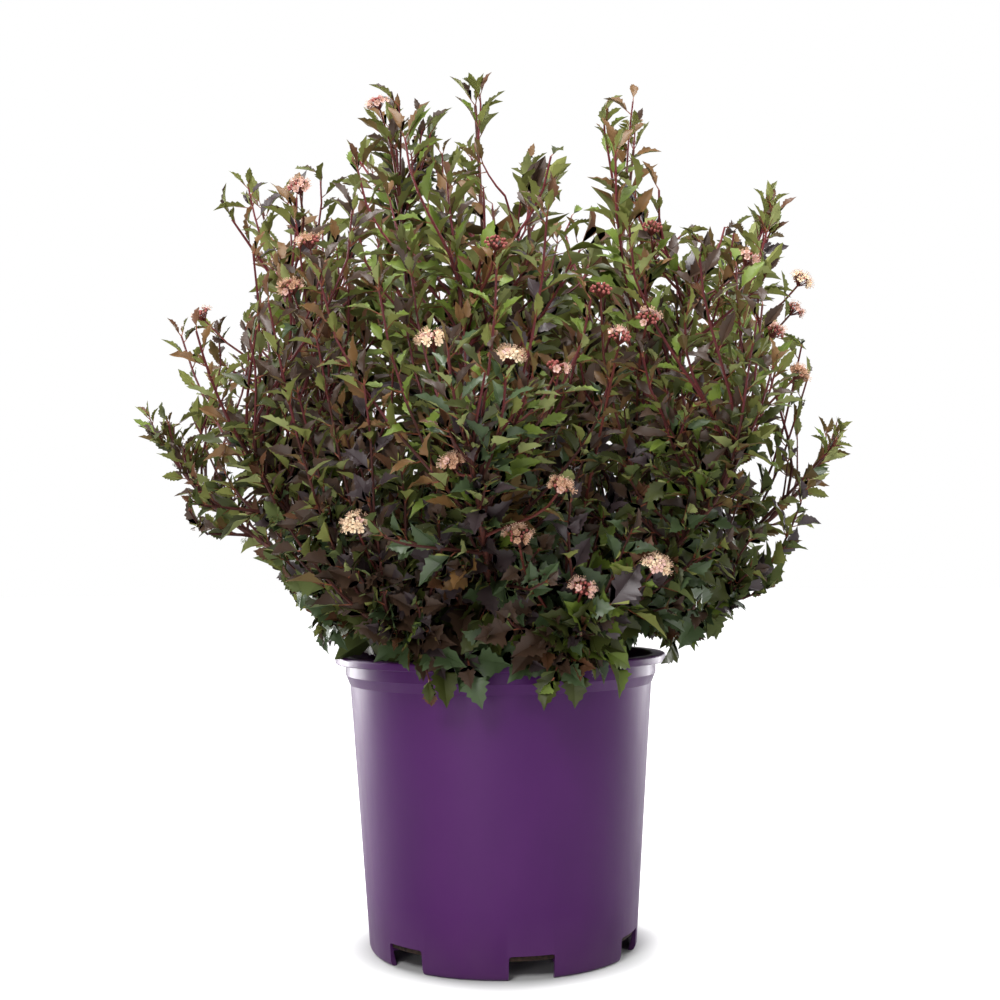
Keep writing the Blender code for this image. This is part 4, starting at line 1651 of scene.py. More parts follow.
    def run(
        self,
        draw: random.Random,
        curve: Curve,
        step: float,
        size: float,
        tint: int,
        first: float = 0.0,
        longest_gap: float = FAR,
    ) -> float:
        """Sets leaves in a spiral along a shoot, with small ones in their axils and at its tip.

        Args:
            draw: The seeded draws.
            curve: The shoot.
            step: Space between leaves.
            size: Size share of the first leaves; those near the tip are smaller.
            tint: Number of the shoot's tint.
            first: Share of the shoot below its first leaf.
            longest_gap: Space without a leaf after which the shoot ends.

        Returns:
            Share of the shoot up to its last leaf, or 0 without one.
        """
        last, length = 0.0, curve.length()
        if self.is_inside(curve.place(0.5)) or curve.place(0.5).z < self.low_height:
            step *= self.inner_step
        count = max(2, round(length * (1 - first) / step))
        turn = draw.uniform(0, 2 * math.pi)
        second = Tint.SMOKY_PURPLE if curve.place(1).z < self.dark_below else Tint.BRONZE
        young = TINTS.index(draw.choice((Tint.YOUNG_RED, second, Tint.PURPLE_BROWN)))
        for k in range(count):
            share = first + (1 - first) * (k + 0.5) / count
            if (share - max(first, last)) * length > longest_gap:
                return last
            place, heading = curve.place(share), curve.aim(share)
            turn += GOLDEN_ANGLE
            high = self.height_share(place.z)
            lean = math.radians(draw.uniform(*self.leaf_lean)) * (1 + self.high_lean * high)
            small = size * (1 - share * (self.shrink[0] + (self.shrink[1] - self.shrink[0]) * high))
            grew = self.leaf(draw, place, heading, lean, turn, small, tint)
            if not grew and place.z > self.sparse_above:
                grew = self.leaf(draw, place, heading, lean, turn + math.pi, small * self.retry_size, tint)
            if grew:
                last = share
            if draw.random() < self.tuft_share:
                tone = draw.choice((tint, young))
                for side in (-self.tuft_turn, self.tuft_turn):
                    lean = math.radians(draw.uniform(*self.tuft_lean))
                    small = size * draw.uniform(*self.tuft_size)
                    self.leaf(draw, place, heading, lean, turn + side, small, tone)
        high = self.height_share(curve.place(1).z)
        for k in range(self.tip_leaves):
            lean = math.radians(draw.uniform(*self.tip_lean)) * (1 + self.high_lean * high)
            small = size * draw.uniform(*self.tip_size) * (1 + self.tip_growth * high)
            if self.leaf(draw, curve.place(1), curve.aim(1), lean, turn + self.tip_turn * k, small, young):
                last = 1.0
        return last

    def twig(self, curve: Curve, last: float, radii: Span, points: int, sides: int = 5) -> None:
        """Adds a twig's own tapering tube, as far as its last leaf, with its bark by height.

        Args:
            curve: The twig's line.
            last: Share of it up to its last leaf.
            radii: Radius at its foot and at its tip.
            points: Points along it.
            sides: Sides of its section.
        """
        self.twigs.add(curve.until(last).spots(points), list(np.linspace(*radii, points)), sides)
        corners, faces = self.twigs.corners[-1], self.twigs.triangles[-1]
        heights = corners[faces[:, 0] - (self.twigs.count - len(corners)), 2]
        self.twigs.parts[-1] = np.searchsorted(self.bark_changes, heights)

    def reach(self, curve: Curve, last: float) -> float:
        """Carries a shoot's end on to the last side shoot that it bears.

        Args:
            curve: The shoot.
            last: Share of it up to its last leaf.

        Returns:
            Share of it up to its last leaf or side shoot.
        """
        shares = np.linspace(0, 1, 101)
        line = np.array([tuple(curve.place(share)) for share in shares])
        for joint in self.joints:
            gaps = np.linalg.norm(line - np.array(tuple(joint)), axis=1)
            if gaps.min() < self.joint_gap:
                last = max(last, float(shares[gaps.argmin()]))
        return last

    def side_shoot(self, draw: random.Random, spray: Spray) -> bool:
        """Grows one side shoot with its leaves.

        Args:
            draw: The seeded draws.
            spray: Where it grows.

        Returns:
            Whether it has a leaf.
        """
        sparse = spray.root.z > self.sparse_above and draw.random() < self.sparse_share
        if sparse or not self.room.in_sight(spray.root):
            return False
        length = spray.length * self.side_length
        lift = UP * float(np.interp(spray.root.z, *self.side_lift))
        way = (spray.along + lift).normalized()
        third = length / 3
        end = spray.root + (spray.along + way).normalized() * length
        curve = Curve((spray.root, spray.root + spray.along * third, end - way * third, end))
        size = min(1.0, self.side_size[0] + spray.length * self.side_size[1])
        tint = self.pick(draw, spray.root)
        last = self.run(draw, curve, self.side_leaf_step, size, tint, self.side_bare, self.longest_gap)
        if last:
            self.twig(curve, last, self.side_radii, 4)
        return last > 0

    def grow(self, mass: Mass) -> None:
        """Grows all twigs and leaves of one mass.

        Args:
            mass: What the rule gives for its cane.
        """
        cane = mass.cane
        bare = cane.habit.bare_share
        draw = random.Random(SEED * 7000 + cane.number)
        self.joints += [spray.root for spray in mass.sprays if self.side_shoot(draw, spray)]
        for start, end in mass.twigs:
            side = across((end - start).normalized())[1]
            bow = side * (end - start).length * draw.uniform(-self.twig_bow, self.twig_bow)
            curve = Curve((start, start.lerp(end, 1 / 3) + bow, start.lerp(end, 2 / 3) + bow, end))
            tint = self.pick(draw, end)
            last = self.run(draw, curve, self.twig_leaf_step, 1.0, tint, self.twig_bare, self.longest_gap)
            last = self.reach(curve, last)
            if last:
                self.twig(curve, last, self.twig_radii, 7, 6)
                self.joints.append(start)
        leafy = cane.curve.after(bare)
        last = self.run(draw, leafy, self.stem_leaf_step, 1.0, self.pick(draw, leafy.place(1)))
        self.cane_ends[cane.number] = bare + (1 - bare) * last

    def foot_for(self, target: Vector, rank: int = 0) -> tuple[Vector, Vector] | None:
        """Finds where on the canes a fine shoot starts.

        Args:
            target: Where the shoot ends.
            rank: How many nearer places are passed over.

        Returns:
            Place and direction on the nearest cane that is low enough, if there is one.
        """
        if not self.feet:
            shares = np.linspace(*self.foot_shares)
            curves = [cane.curve for cane in self.canes]
            self.feet = [(curve.place(share), curve.aim(share)) for curve in curves for share in shares]
            self.foot_uses = np.zeros(len(self.feet))
        places = np.array([tuple(place) for place, _ in self.feet])
        across_gap = np.hypot(places[:, 0] - target.x, places[:, 1] - target.y)
        climb = float(np.interp(target.z, *self.foot_climb))
        below = target.z - places[:, 2] > climb * across_gap
        if not below.any():
            return None
        gaps = np.linalg.norm(places - np.array(tuple(target)), axis=1) + self.foot_cost * self.foot_uses
        chosen = int(np.where(below, gaps, FAR).argsort()[rank])
        if not below[chosen]:
            return None
        self.foot_uses[chosen] += 1
        return self.feet[chosen]

    def shoot_to(self, draw: random.Random, target: Vector, rank: int = 0) -> bool:
        """Grows a fine shoot from the canes to a place, with leaves on its outer part.

        Args:
            draw: The seeded draws.
            target: Where the shoot ends.
            rank: How many nearer starts are passed over.

        Returns:
            Whether there was a way.
        """
        foot = self.foot_for(target, rank)
        if foot is None:
            return False
        start, heading = foot
        span = (target - start).length
        rise = math.radians(float(np.interp(target.z, *self.shoot_rise)))
        arrive = Vector((target.x, target.y, 0)).normalized() * math.cos(rise) + UP * math.sin(rise)
        leave_pull, arrive_pull = self.shoot_pulls
        bend = target - arrive * span * arrive_pull
        curve = Curve((start, start + heading * span * leave_pull, bend, target))
        too_short = span < self.shortest_shoot
        if too_short or self.hides_head(curve.spots(16)) or not self.room.open_to(curve.spots(8)[1:]):
            return False
        bare = max(self.least_bare, 1 - float(np.interp(target.z, *self.leafy_reach)) / span)
        tint = self.pick(draw, target)
        last = self.run(draw, curve, self.shoot_leaf_step, 1.0, tint, bare, self.longest_gap)
        if last:
            self.twig(curve, last, self.shoot_radii, 8)
            self.joints.append(start)
        return last > 0

    def fill(self, tips: list[Vector]) -> None:
        """Grows fine shoots into what room is left in the crown's outer part.

        Args:
            tips: Places that twigs and side shoots already reach.
        """
        draw = random.Random(SEED * 8000)
        rim = [(bearing, OVERHANG_RADIUS, OVERHANG_HEIGHT) for bearing in OVERHANG]
        for turn in (0, 90, 180, 270):
            for bearing, reach, height in (*LEADERS, *rim):
                angle = math.radians(bearing + turn)
                tip = Vector((reach * math.cos(angle), reach * math.sin(angle), height))
                wanted = (height < self.fill_ceiling or not turn) and self.room.open_to((tip,))
                if wanted and any(self.shoot_to(draw, tip, rank) for rank in self.leader_ranks):
                    tips.append(tip)
        taken = np.array([tuple(p) for p in tips])
        heights, radii = zip(*CROWN_EDGE)
        for _ in range(self.shoot_tries):
            height = draw.uniform(heights[0], self.fill_ceiling)
            edge = float(np.interp(height, heights, radii))
            angle = draw.uniform(0, 2 * math.pi)
            radius = edge * math.sqrt(draw.uniform(self.shell**2, 1))
            target = Vector((radius * math.cos(angle), radius * math.sin(angle), height))
            spacing = float(np.interp(height, *self.shoot_spacing))
            if abs(target.x) > self.open_side and height < self.open_height:
                spacing *= self.open_spacing[target.x > 0]
            gap = np.linalg.norm(taken - np.array(tuple(target)), axis=1).min()
            if gap > spacing and self.room.open_to((target,)) and self.shoot_to(draw, target):
                taken = np.vstack([taken, [tuple(target)]])
        log.info("fine shoots: %d", len(taken) - len(tips))

    def heads_on_shoots(self, masses: Sequence[Mass]) -> list[Head]:
        """Gives every blossom head a stalk: the rule's, or one from the nearest cane.

        Args:
            masses: All masses of the crown.

        Returns:
            The heads.
        """
        heads = [head for mass in masses for head in mass.heads if self.room.in_sight(head.centre)]
        for centre, stage in Grower.all_heads():
            known = any((head.centre - centre).length < HEAD_RADIUS for head in heads)
            foot = None if known or not self.room.in_sight(centre) else self.foot_for(centre)
            if foot:
                heads.append(Head(foot[0], centre, stage))
        self.joints += [head.start for head in heads]
        return heads

    def make(self, masses: Sequence[Mass]) -> list[Head]:
        """Builds the twigs, leaf stalks and leaves.

        Args:
            masses: All masses of the crown.

        Returns:
            The blossom heads that the shoots carry.
        """
        tips = []
        for mass in masses:
            self.grow(mass)
            tips += [end for _, end in mass.twigs]
            tips += [spray.root + spray.along * spray.length * self.side_end for spray in mass.sprays]
        self.fill(tips)
        draw = random.Random(SEED * 8500)
        heads = self.heads_on_shoots(masses)
        for head in heads:
            tint = self.pick(draw, head.centre)
            self.run(draw, head.stalk(), self.twig_leaf_step, self.head_leaf_size, tint, self.head_stalk_bare)
        for cane in self.canes:
            self.cane_ends[cane.number] = self.reach(cane.curve, self.cane_ends[cane.number])
        log.info("leaves: %d", self.count)
        finishes = [tint.value.make() for tint in TINTS] + [under.value.make() for under in UNDERSIDES]
        low = [f"foliage_{cane.number + 1:02d}" for cane in self.canes if cane.tier <= Tier.SKIRT]
        high = [f"foliage_{cane.number + 1:02d}" for cane in self.canes if cane.tier > Tier.SKIRT]
        for name, blades in self.leaves.items():
            nodes = {"low_leaves": low, "high_leaves": high}.get(name, [])
            dress(blades.make(name, finishes), "foliage", *nodes)
        dress(self.twigs.make("twigs", BROWN_BARK.make(), RED_BARK.make(), YOUNG_BARK.make()), "cane")
        dress(self.stalks.make("leaf_stalks", LEAF_STALK.make()), "foliage")
        return heads


@dataclass
class Canes:
    """The canes with their bark, from the stem base to the tips of their leading shoots."""

    rings: int = 44
    sides: int = 12
    relief: float = 0.16
    node_every: int = 4
    node_swelling: float = 0.10

    def make(self, canes: Sequence[Cane], ends: dict[int, float]) -> None:
        """Builds the canes.

        Args:
            canes: All canes of the shrub.
            ends: Share of each cane up to its last leaf.
        """
        tubes = Tubes()
        shares = np.linspace(0, 1, self.rings)
        for cane in canes:
            bare = cane.habit.bare_share
            radii = np.interp(shares, (0, bare, 1), (CANE_FOOT_RADIUS, CANE_JOINT_RADIUS, SHOOT_TIP_RADIUS))
            swell = 1 + self.node_swelling * (np.arange(self.rings) % self.node_every == 0)
            line = cane.curve.until(ends[cane.number]).spots(self.rings)
            tubes.add(line, list(radii * swell), self.sides, self.relief)
        nodes = [f"bough_{cane.number + 1:02d}" for cane in canes]
        dress(tubes.make("canes", CANE_BARK.make()), "cane", *nodes)


@dataclass
class StemBase:
    """The short woody stem, a knobbly dome that the canes rise from."""

    radius: float = STOOL_RADIUS
    height: float = STOOL_HEIGHT
    knobs: float = 0.0016
    knob_run: tuple[float, ...] = (160, 160, 50)
    knob_level: float = 0.35
    plain_foot: float = 0.0005

    def make(self) -> None:
        """Builds the stem base."""
        foot = SOIL_TOP + CLEARANCE
        bm = bmesh.new()
        bmesh.ops.create_icosphere(bm, subdivisions=5, radius=1)
        ball = [*bm.verts, *bm.edges, *bm.faces]
        flat = bmesh.ops.bisect_plane(bm, geom=ball, plane_co=(0, 0, 0), plane_no=(0, 0, 1), clear_inner=True)
        bmesh.ops.holes_fill(bm, edges=[e for e in flat["geom_cut"] if isinstance(e, bmesh.types.BMEdge)])
        bmesh.ops.scale(bm, verts=bm.verts, vec=(self.radius, self.radius, self.height))
        bmesh.ops.translate(bm, verts=bm.verts, vec=(0, 0, foot))
        for corner in bm.verts:
            if corner.co.z > foot + self.plain_foot:
                out = Vector((corner.co.x, corner.co.y, corner.co.z - foot)).normalized()
                ridge = noise.noise(corner.co * Vector(self.knob_run))
                corner.co += out * self.knobs * (ridge - self.knob_level)
        bmesh.ops.recalc_face_normals(bm, faces=bm.faces)
        dress(object_from(bm, "woody_base", OLD_BARK.make()), "old_wood", "stem_base")


@dataclass
class Blossom:
    """The blossom heads: petals, stamens, cups, buds and their stalks."""

    florets: int = 23
    dome_radius: float = 0.0086
    dome_edge: float = math.radians(84)
    dome_height: float = 0.72
    dome_sink: float = 0.004
    dome_spread: Span = (0.84, 1.08)
    closed_size: float = 0.86
    turn_spread: float = 0.25
    open_shares: dict[Stage, float] = field(
        default_factory=lambda: {Stage.BUD: 0.0, Stage.OPENING: 0.38, Stage.OPEN: 0.9, Stage.FADING: 0.6}
    )
    usual_share: float = 0.8
    spread: Span = (0.75, 1.0)
    half_spread: float = 0.7
    petal_count: int = 5
    petal_length: float = 0.0029
    petal_spread: Span = (0.9, 1.1)
    petal_rise: float = 1.15
    petal_gap: float = 0.0004
    petal_curl: float = -0.12
    petal_fold: float = 0.25
    stamen_count: int = 6
    stamen_length: float = 0.0041
    stamen_turn: float = 0.3
    stamen_lean: float = 0.55
    stamen_spread: Span = (0.5, 1)
    stamen_neck: float = 0.86
    stamen_radii: tuple[float, ...] = (0.00012, 0.0001, 0.00032)
    cup_depth: float = 0.0006
    cup_radius: float = 0.0009
    bud_radius: float = 0.0013
    bud_spread: Span = (0.8, 1.1)
    stalk_radii: Span = (0.0012, 0.0009)
    fine_stalk_radii: Span = (0.0004, 0.0003)
    fine_stalk_gap: float = 0.0008
    petals: Blades = field(default_factory=lambda: Blades(PETAL_BLADE, 0.00018))
    stamens: Tubes = field(default_factory=Tubes)
    stalks: Tubes = field(default_factory=Tubes)
    buds: list[tuple[Vector, float]] = field(default_factory=list)
    cups: list[tuple[Vector, float]] = field(default_factory=list)

    def floret(self, draw: random.Random, centre: Vector, way: Vector, colour: int, spread: float) -> None:
        """Adds one small flower.

        Args:
            draw: The seeded draws.
            centre: The middle of the flower.
            way: The way it faces.
            colour: Material number of its petals.
            spread: How far it has opened, from 0 to 1.
        """
        side, front = across(way)
        start = draw.uniform(0, 2 * math.pi)
        for k in range(self.petal_count):
            out = turned(side, front, start + k * 2 * math.pi / self.petal_count)
            along = (out * spread + way * (self.petal_rise - spread)).normalized()
            face = (way - along * way.dot(along)).normalized()
            length = self.petal_length * draw.uniform(*self.petal_spread)
            root = centre + out * self.petal_gap
            bend = (self.petal_curl, self.petal_fold)
            self.petals.add(root, along, face, length, 0, *bend, start, (colour, colour))
        for k in range(self.stamen_count):
            out = turned(side, front, start + k * 2 * math.pi / self.stamen_count + self.stamen_turn)
            lean = out * self.stamen_lean * draw.uniform(*self.stamen_spread)
            end = centre + (way + lean) * self.stamen_length
            self.stamens.add([centre, centre.lerp(end, self.stamen_neck), end], self.stamen_radii, 3)
        self.cups.append((centre - way * self.cup_depth, self.cup_radius))

    def head(self, number: int, head: Head) -> None:
        """Adds one head, a shallow dome of florets and buds.

        Args:
            number: The head's number, which seeds its draws.
            head: Where it grows and how far it has come.
        """
        draw = random.Random(SEED * 9000 + number)
        way = head.way()
        side, front = across(way)
        line = head.stalk()
        base = line.place(1)
        self.stalks.add(line.spots(6), list(np.linspace(*self.stalk_radii, 6)), 5)
        is_open = head.stage is Stage.OPEN
        for k in range(self.florets):
            lean = self.dome_edge * math.sqrt((k + 0.5) / self.florets)
            angle = k * GOLDEN_ANGLE + draw.uniform(-self.turn_spread, self.turn_spread)
            out = turned(side, front, angle)
            face = turned(way, out, lean).normalized()
            size = draw.uniform(*self.dome_spread)
            radius = self.dome_radius * size * (1.0 if is_open else self.closed_size)
            rise = radius * self.dome_height * math.cos(lean) - self.dome_sink
            centre = head.centre + out * radius * math.sin(lean) + way * rise
            self.stalks.add([base, centre - face * self.fine_stalk_gap], self.fine_stalk_radii, 3)
            if draw.random() < self.open_shares[head.stage]:
                petal = STAGE_PETALS[head.stage] if draw.random() < self.usual_share else PINK_PETAL
                spread = draw.uniform(*self.spread) if is_open else self.half_spread
                self.floret(draw, centre, face, PETALS.index(petal), spread)
            else:
                self.buds.append((centre, self.bud_radius * draw.uniform(*self.bud_spread)))

    @staticmethod
    def beads(name: str, beads: Sequence[tuple[Vector, float]], finish: PlantFinish) -> Object:
        """Builds many small round things as one piece.

        Args:
            name: The piece's name.
            beads: Centre and radius of each.
            finish: Its finish.

        Returns:
            The object.
        """
        bm = bmesh.new()
        bmesh.ops.create_icosphere(bm, subdivisions=1, radius=1)
        ball = np.array([tuple(v.co) for v in bm.verts])
        faces = np.array([[v.index for v in f.verts] for f in bm.faces])
        bm.free()
        places = np.array([tuple(place) for place, _ in beads])
        radii = np.array([radius for _, radius in beads])
        corners = places[:, None, :] + ball[None] * radii[:, None, None]
        shift = (np.arange(len(beads)) * len(ball))[:, None, None]
        triangles = (faces[None] + shift).reshape(-1, 3)
        return triangle_mesh(name, corners.reshape(-1, 3), triangles, [finish.make()])

    def make(self, heads: Sequence[Head]) -> None:
        """Builds the blossom.

        Args:
            heads: All blossom heads.
        """
        for number, head in enumerate(heads):
            self.head(number, head)
        dress(self.petals.make("petals", [finish.make() for finish in PETALS]), "foliage")
        dress(self.stamens.make("stamens", STAMEN.make()), "foliage")
        dress(self.stalks.make("blossom_stalks", BLOSSOM_STALK.make()), "foliage")
        dress(self.beads("buds", self.buds, BUD_SKIN), "foliage")
        dress(self.beads("flower_cups", self.cups, FLOWER_CUP), "foliage")


@dataclass
class Pot:
    """The purple nursery container, with its rolled lip, stacking band and drain notches."""

    height: float = POT_HEIGHT
    wall: float = WALL
    lip_radius: float = LIP_RADIUS
    lip_depth: float = 0.0065
    lip_rounding: float = 0.0021
    band_radius: float = BAND_RADIUS
    band_bottom: float = 0.2248
    shoulder_bottom: float = 0.2177
    radius_at_ground: float = 0.1106
    slope: float = 0.0699
    foot_radius: float = 0.1070
    foot_rounding: float = 0.0042
    floor_bottom: float = 0.0120
    floor_top: float = 0.0145
    floor_rounding: float = 0.003
    floor_ring: tuple[float, ...] = (0.06, 0.0585, 0.057)
    floor_ring_depth: float = 0.001
    mouth_rounding: float = 0.0016
    wall_top: float = 0.19
    steps: int = 168
    notch_bearings: tuple[float, ...] = (226.4, 281.4, 336.4, 46.4, 101.4, 156.4)
    notch_width: float = 0.036
    notch_height: float = 0.019
    notch_inward: float = 0.012
    notch_rounding: float = 0.0022

    def wall_radius(self, height: float) -> float:
        """Outer radius of the tapering wall."""
        return self.radius_at_ground + self.slope * height

    @staticmethod
    def arc(centre: Span, radius: float, first: float, last: float, count: int) -> list[Span]:
        """Points on an arc of the half section, angles in degrees."""
        angles = np.radians(np.linspace(first, last, count))
        return [(centre[0] + radius * math.cos(a), centre[1] + radius * math.sin(a)) for a in angles]

    def profile(self) -> list[Span]:
        """Works out the half section, from the floor up the inside and down the outside.

        Returns:
            Radius and height of each point.
        """
        wall, top = self.wall, self.height
        lip_centre = (self.lip_radius - self.lip_rounding, top - self.lip_rounding)
        inner, bend = self.band_radius - wall, self.mouth_rounding
        inside = [
            (0, self.floor_top),
            (self.wall_radius(self.floor_top) - wall - self.floor_rounding, self.floor_top),
            (self.wall_radius(self.floor_top) - wall, self.floor_top + self.floor_rounding),
            (self.wall_radius(self.shoulder_bottom) - wall, self.shoulder_bottom),
            (inner, self.band_bottom),
        ]
        mouth = self.arc((inner + bend, top - bend), bend, 180, 90, 4)
        lip = self.arc(lip_centre, self.lip_rounding, 90, 0, 7)
        under = [
            (self.lip_radius, top - self.lip_depth + 0.0005),
            (self.lip_radius - 0.0005, top - self.lip_depth),
            (self.lip_radius - wall + 0.0004, top - self.lip_depth),
            (self.lip_radius - wall, top - self.lip_depth + 0.0004),
            (self.lip_radius - wall, top - wall - 0.0004),
            (self.lip_radius - wall - 0.0006, top - wall),
            (self.band_radius + 0.0008, top - wall),
            (self.band_radius, top - wall - 0.0008),
        ]
        outside = [
            (self.band_radius, self.band_bottom + 0.0006),
            (self.band_radius - 0.0005, self.band_bottom),
            (self.wall_radius(self.shoulder_bottom) + 0.0006, self.shoulder_bottom + 0.0004),
            (self.wall_radius(self.shoulder_bottom), self.shoulder_bottom - 0.0004),
        ]
        down = [(self.wall_radius(h), h) for h in np.linspace(self.wall_top, self.foot_rounding, 5)]
        foot = self.arc((self.foot_radius - 0.0006, self.foot_rounding), self.foot_rounding, -8, -90, 6)
        ring_levels = (self.floor_bottom, self.floor_bottom - self.floor_ring_depth, self.floor_bottom)
        underside = [
            (self.foot_radius - wall, 0),
            (self.wall_radius(self.floor_bottom) - wall - 0.0008, self.floor_bottom),
            *zip(self.floor_ring, ring_levels),
            (0, self.floor_bottom),
        ]
        return inside + mouth + lip + under + outside + down + foot + underside

    def cutter(self) -> Object:
        """Builds the shape that cuts the drain notches, with rounded upper corners.

        Returns:
            The shape, one block for each notch.
        """
        bm = bmesh.new()
        inner, outer = self.foot_radius - self.notch_inward, self.lip_radius
        for bearing in self.notch_bearings:
            size = (outer - inner, self.notch_width, self.notch_height * 2)
            turn = Matrix.Rotation(math.radians(bearing), 4, "Z")
            place = turn @ Matrix.Translation(((inner + outer) / 2, 0, 0)) @ Matrix.Diagonal((*size, 1))
            block = bmesh.ops.create_cube(bm, size=1, matrix=place)
            radial = turn @ Vector((1, 0, 0))
            edges = dict.fromkeys(e for v in block["verts"] for e in v.link_edges)
            upper = [e for e in edges if min(v.co.z for v in e.verts) > 0]
            ways = [(e.verts[1].co - e.verts[0].co).normalized() for e in upper]
            top = [e for e, way in zip(upper, ways) if abs(way.dot(radial)) > 0.9]
            bend = {"offset": self.notch_rounding, "segments": 3, "profile": 0.5}
            bmesh.ops.bevel(bm, geom=top, affect="EDGES", material=-1, **bend)
        mesh = bpy.data.meshes.new("notch_cutter")
        bm.to_mesh(mesh)
        bm.free()
        return placed("notch_cutter", mesh)

    def make(self) -> None:
        """Builds the container and cuts its drain notches."""
        bm = bmesh.new()
        points = [bm.verts.new((radius, 0, height)) for radius, height in self.profile()]
        edges = [bm.edges.new(pair) for pair in zip(points, points[1:])]
        section, turn = [*points, *edges], 2 * math.pi
        bmesh.ops.spin(
            bm, geom=section, cent=(0, 0, 0), axis=(0, 0, 1), angle=turn, steps=self.steps, use_merge=True
        )
        bmesh.ops.remove_doubles(bm, verts=bm.verts, dist=MERGE_DISTANCE)
        bmesh.ops.recalc_face_normals(bm, faces=bm.faces)
        pot = object_from(bm, "container", PlasticFinish().make())
        cutter = self.cutter()
        cut = pot.modifiers.new("notches", "BOOLEAN")
        cut.operation = "DIFFERENCE"
        cut.object = cutter
        graph = bpy.context.evaluated_depsgraph_get()
        mesh = in_order(bpy.data.meshes.new_from_object(pot.evaluated_get(graph)))
        mesh.set_sharp_from_angle(angle=POT_SHARP_ANGLE)
        pot.modifiers.clear()
        pot.data = mesh
        bpy.data.objects.remove(cutter)
        dress(pot, "pot", "pot")


@dataclass
class PottingMix:
    """The bark mix: the solid below keeps its node, and loose chips lie on it."""

    chips: int = 900
    inner: float = 0.034
    outer: float = 0.1215
    wall_gap: float = 0.0012
    chip_sizes: tuple[Span, ...] = ((0.004, 0.013), (0.003, 0.006), (0.001, 0.0026))
    chip_leans: Span = (0.25, 0.22)
    unevenness: float = 0.0009
    bedding: float = 0.4
    pile: float = 0.0025

    def surface(self, radius: float) -> float:
        """Height of the mix at a distance from the axis."""
        edge = Pot().wall_radius(SOIL_EDGE) - WALL
        return float(np.interp(radius, (0, SOIL_FLAT_RADIUS, edge), (SOIL_TOP, SOIL_TOP, SOIL_EDGE)))

    def make(self) -> None:
        """Builds the loose chips and gives the mix its finish."""
        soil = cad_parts["soil"]
        soil.data.materials.clear()
        soil.data.materials.append(MIX_CRUMB.make())
        draw = random.Random(SEED * 11)
        bm = bmesh.new()
        for _ in range(self.chips):
            radius = math.sqrt(draw.uniform(self.inner**2, self.outer**2))
            size = Vector([draw.uniform(*span) for span in self.chip_sizes])
            radius = min(radius, self.outer - size.x / 2 - self.wall_gap)
            angle = draw.uniform(0, 2 * math.pi)
            lift = self.surface(radius) + size.z * self.bedding + draw.uniform(0, self.pile)
            place = Matrix.Translation((radius * math.cos(angle), radius * math.sin(angle), lift))
            spin = Matrix.Rotation(draw.uniform(0, NEARLY_A_TURN), 4, "Z")
            spin = spin @ Matrix.Rotation(draw.gauss(0, self.chip_leans[0]), 4, "X")
            tilt = Matrix.Rotation(draw.gauss(0, self.chip_leans[1]), 4, "Y")
            shape = place @ spin @ tilt @ Matrix.Diagonal((*size, 1))
            for corner in bmesh.ops.create_cube(bm, size=1, matrix=shape)["verts"]:
                corner.co += Vector([draw.uniform(-self.unevenness, self.unevenness) for _ in range(3)])
        bmesh.ops.recalc_face_normals(bm, faces=bm.faces)
        dress(object_from(bm, "bark_chips", BARK_CHIP.make(), smooth=False), "soil")


# Studio


@dataclass(frozen=True)
class SoftBox:
    """A soft rectangular studio light that points at the plant."""

    name: str
    place: tuple[float, float, float]
    size: Span
    power: float
    colour: Colour = (1.0, 1.0, 1.0)

    def make(self, target: Vector) -> None:
        """Sets the light up.

        Args:
            target: The point that it is turned to.
        """
        lamp = bpy.data.lights.new(self.name, "AREA")
        lamp.shape = "RECTANGLE"
        lamp.size, lamp.size_y = self.size
        lamp.energy = self.power
        lamp.color = self.colour
        made = placed(self.name, lamp)
        made.location = self.place
        made.rotation_euler = (target - Vector(self.place)).to_track_quat("-Z", "Y").to_euler()


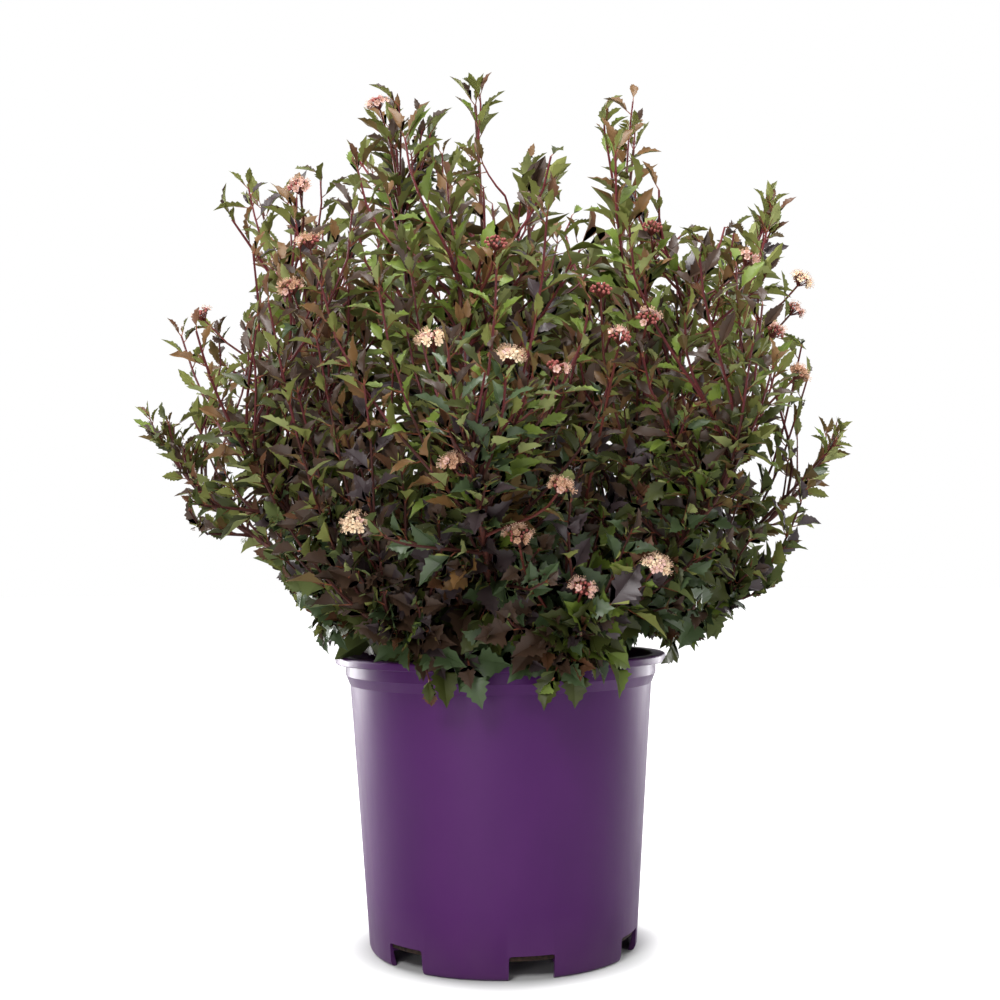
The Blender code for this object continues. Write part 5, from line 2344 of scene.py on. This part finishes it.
@dataclass
class Studio:
    """Pale floor, soft light and the camera of the portrait."""

    camera_place: tuple[float, float, float] = (0.0008, -1.2, 0.3176)
    pitch: float = 0.0437
    roll: float = 0.0097
    lens: float = 51.12
    sensor: float = 36
    glow_colour: Colour = (0.96, 0.97, 1, 1)
    glow: Span = (0.09, 0.95)
    glow_depth: Span = (-0.4, 0.9)
    floor_radius: float = 14
    floor_colour: Colour = (0.45, 0.45, 0.45, 1)
    floor_fade: Span = (0.106, 0.150)
    target: Vector = field(default_factory=lambda: Vector((0, 0, 0.38)))
    boxes: tuple[SoftBox, ...] = (
        SoftBox("key_light", (-0.78, -2.0, 2.0), (0.8, 0.8), 51),
        SoftBox("fill_light", (1.9, -1.6, 1.0), (1.4, 1.4), 15),
        SoftBox("low_front_light", (-0.9, -2.2, 0.45), (0.9, 0.7), 15.5),
        SoftBox("left_side_light", (-1.5, 1.25, 0.7), (0.9, 1.6), 66),
        SoftBox("right_side_light", (1.5, 1.3, 0.7), (0.9, 1.6), 42),
        SoftBox("top_light", (0.2, -0.4, 2.4), (1.1, 1.1), 66),
    )

    def camera(self) -> None:
        """Sets the camera at the picture's place and angle."""
        lens = bpy.data.cameras.new("portrait_camera")
        lens.lens = self.lens
        lens.sensor_width = self.sensor
        made = placed("portrait_camera", lens)
        tilt = Matrix.Rotation(math.pi / 2 + self.pitch, 4, "X") @ Matrix.Rotation(-self.roll, 4, "Z")
        made.matrix_world = Matrix.Translation(self.camera_place) @ tilt
        bpy.context.scene.camera = made

    def world(self) -> None:
        """Makes a white surround that lights the plant softly, most from behind."""
        world = bpy.data.worlds.new("white_surround")
        bpy.context.scene.world = world
        world.use_nodes = True
        nodes = world.node_tree.nodes
        (front, back), (dim, bright) = self.glow_depth, self.glow
        seen = tuned(nodes["Background"], Color=(1, 1, 1, 1), Strength=1)
        felt = added(nodes, "Background", Color=self.glow_colour)
        way, split = added(nodes, "TexCoord"), added(nodes, "SeparateXYZ")
        graded = added(nodes, "MapRange", From_Min=front, From_Max=back, To_Min=dim, To_Max=bright)
        join(way, "Generated", split, "Vector")
        join(split, "Y", graded, "Value")
        join(graded, "Result", felt, "Strength")
        path, pick = added(nodes, "LightPath"), added(nodes, "MixShader")
        join(path, "Is Camera Ray", pick, "Fac")
        join(felt, "Background", pick, 1)
        join(seen, "Background", pick, 2)
        join(pick, "Shader", nodes["World Output"], "Surface")

    def floor(self) -> None:
        """Lays the pale floor, which fades into the white surround away from the plant."""
        bm = bmesh.new()
        bmesh.ops.create_circle(bm, cap_ends=True, segments=96, radius=self.floor_radius)
        paint = Painter("pale_floor", self.floor_colour, 0.9)
        nodes = paint.nodes
        near, far = self.floor_fade
        place = added(nodes, "TexCoord")
        distance = added(nodes, "VectorMath", "LENGTH")
        fade = added(nodes, "MapRange", From_Min=near, From_Max=far, To_Min=0, To_Max=1)
        path = added(nodes, "LightPath")
        seen = added(nodes, "Math", "MULTIPLY")
        tuned(paint.shader, Emission_Color=(1, 1, 1, 1))
        join(place, "Object", distance, 0)
        join(distance, "Value", fade, "Value")
        join(path, "Is Camera Ray", seen, 0)
        join(fade, "Result", seen, 1)
        join(seen, 0, paint.shader, "Emission Strength")
        floor = object_from(bm, "pale_floor", paint.material, smooth=False)

    def make(self) -> None:
        """Sets up camera, surround, floor and lights."""
        self.camera()
        self.world()
        self.floor()
        for box in self.boxes:
            box.make(self.target)
        view = bpy.context.scene.view_settings
        view.view_transform = "Standard"
        view.look = "None"


def main() -> None:
    """Builds the plant, its container and the studio, in order."""
    logging.basicConfig(level=logging.INFO, format="%(message)s")
    Studio().make()
    Pot().make()
    PottingMix().make()
    StemBase().make()
    tips = [(tier, *tip) for tier, group in CANE_TIPS.items() for tip in group]
    canes = [Cane(number, *tip) for number, tip in enumerate(tips)]
    room = Room(canes)
    grower = Grower(room)
    masses = [grower.mass(cane) for cane in canes]
    foliage = Foliage(canes, room)
    heads = foliage.make(masses)
    Canes().make(canes, foliage.cane_ends)
    Blossom().make(heads)


if __name__ == "__main__":
    main()
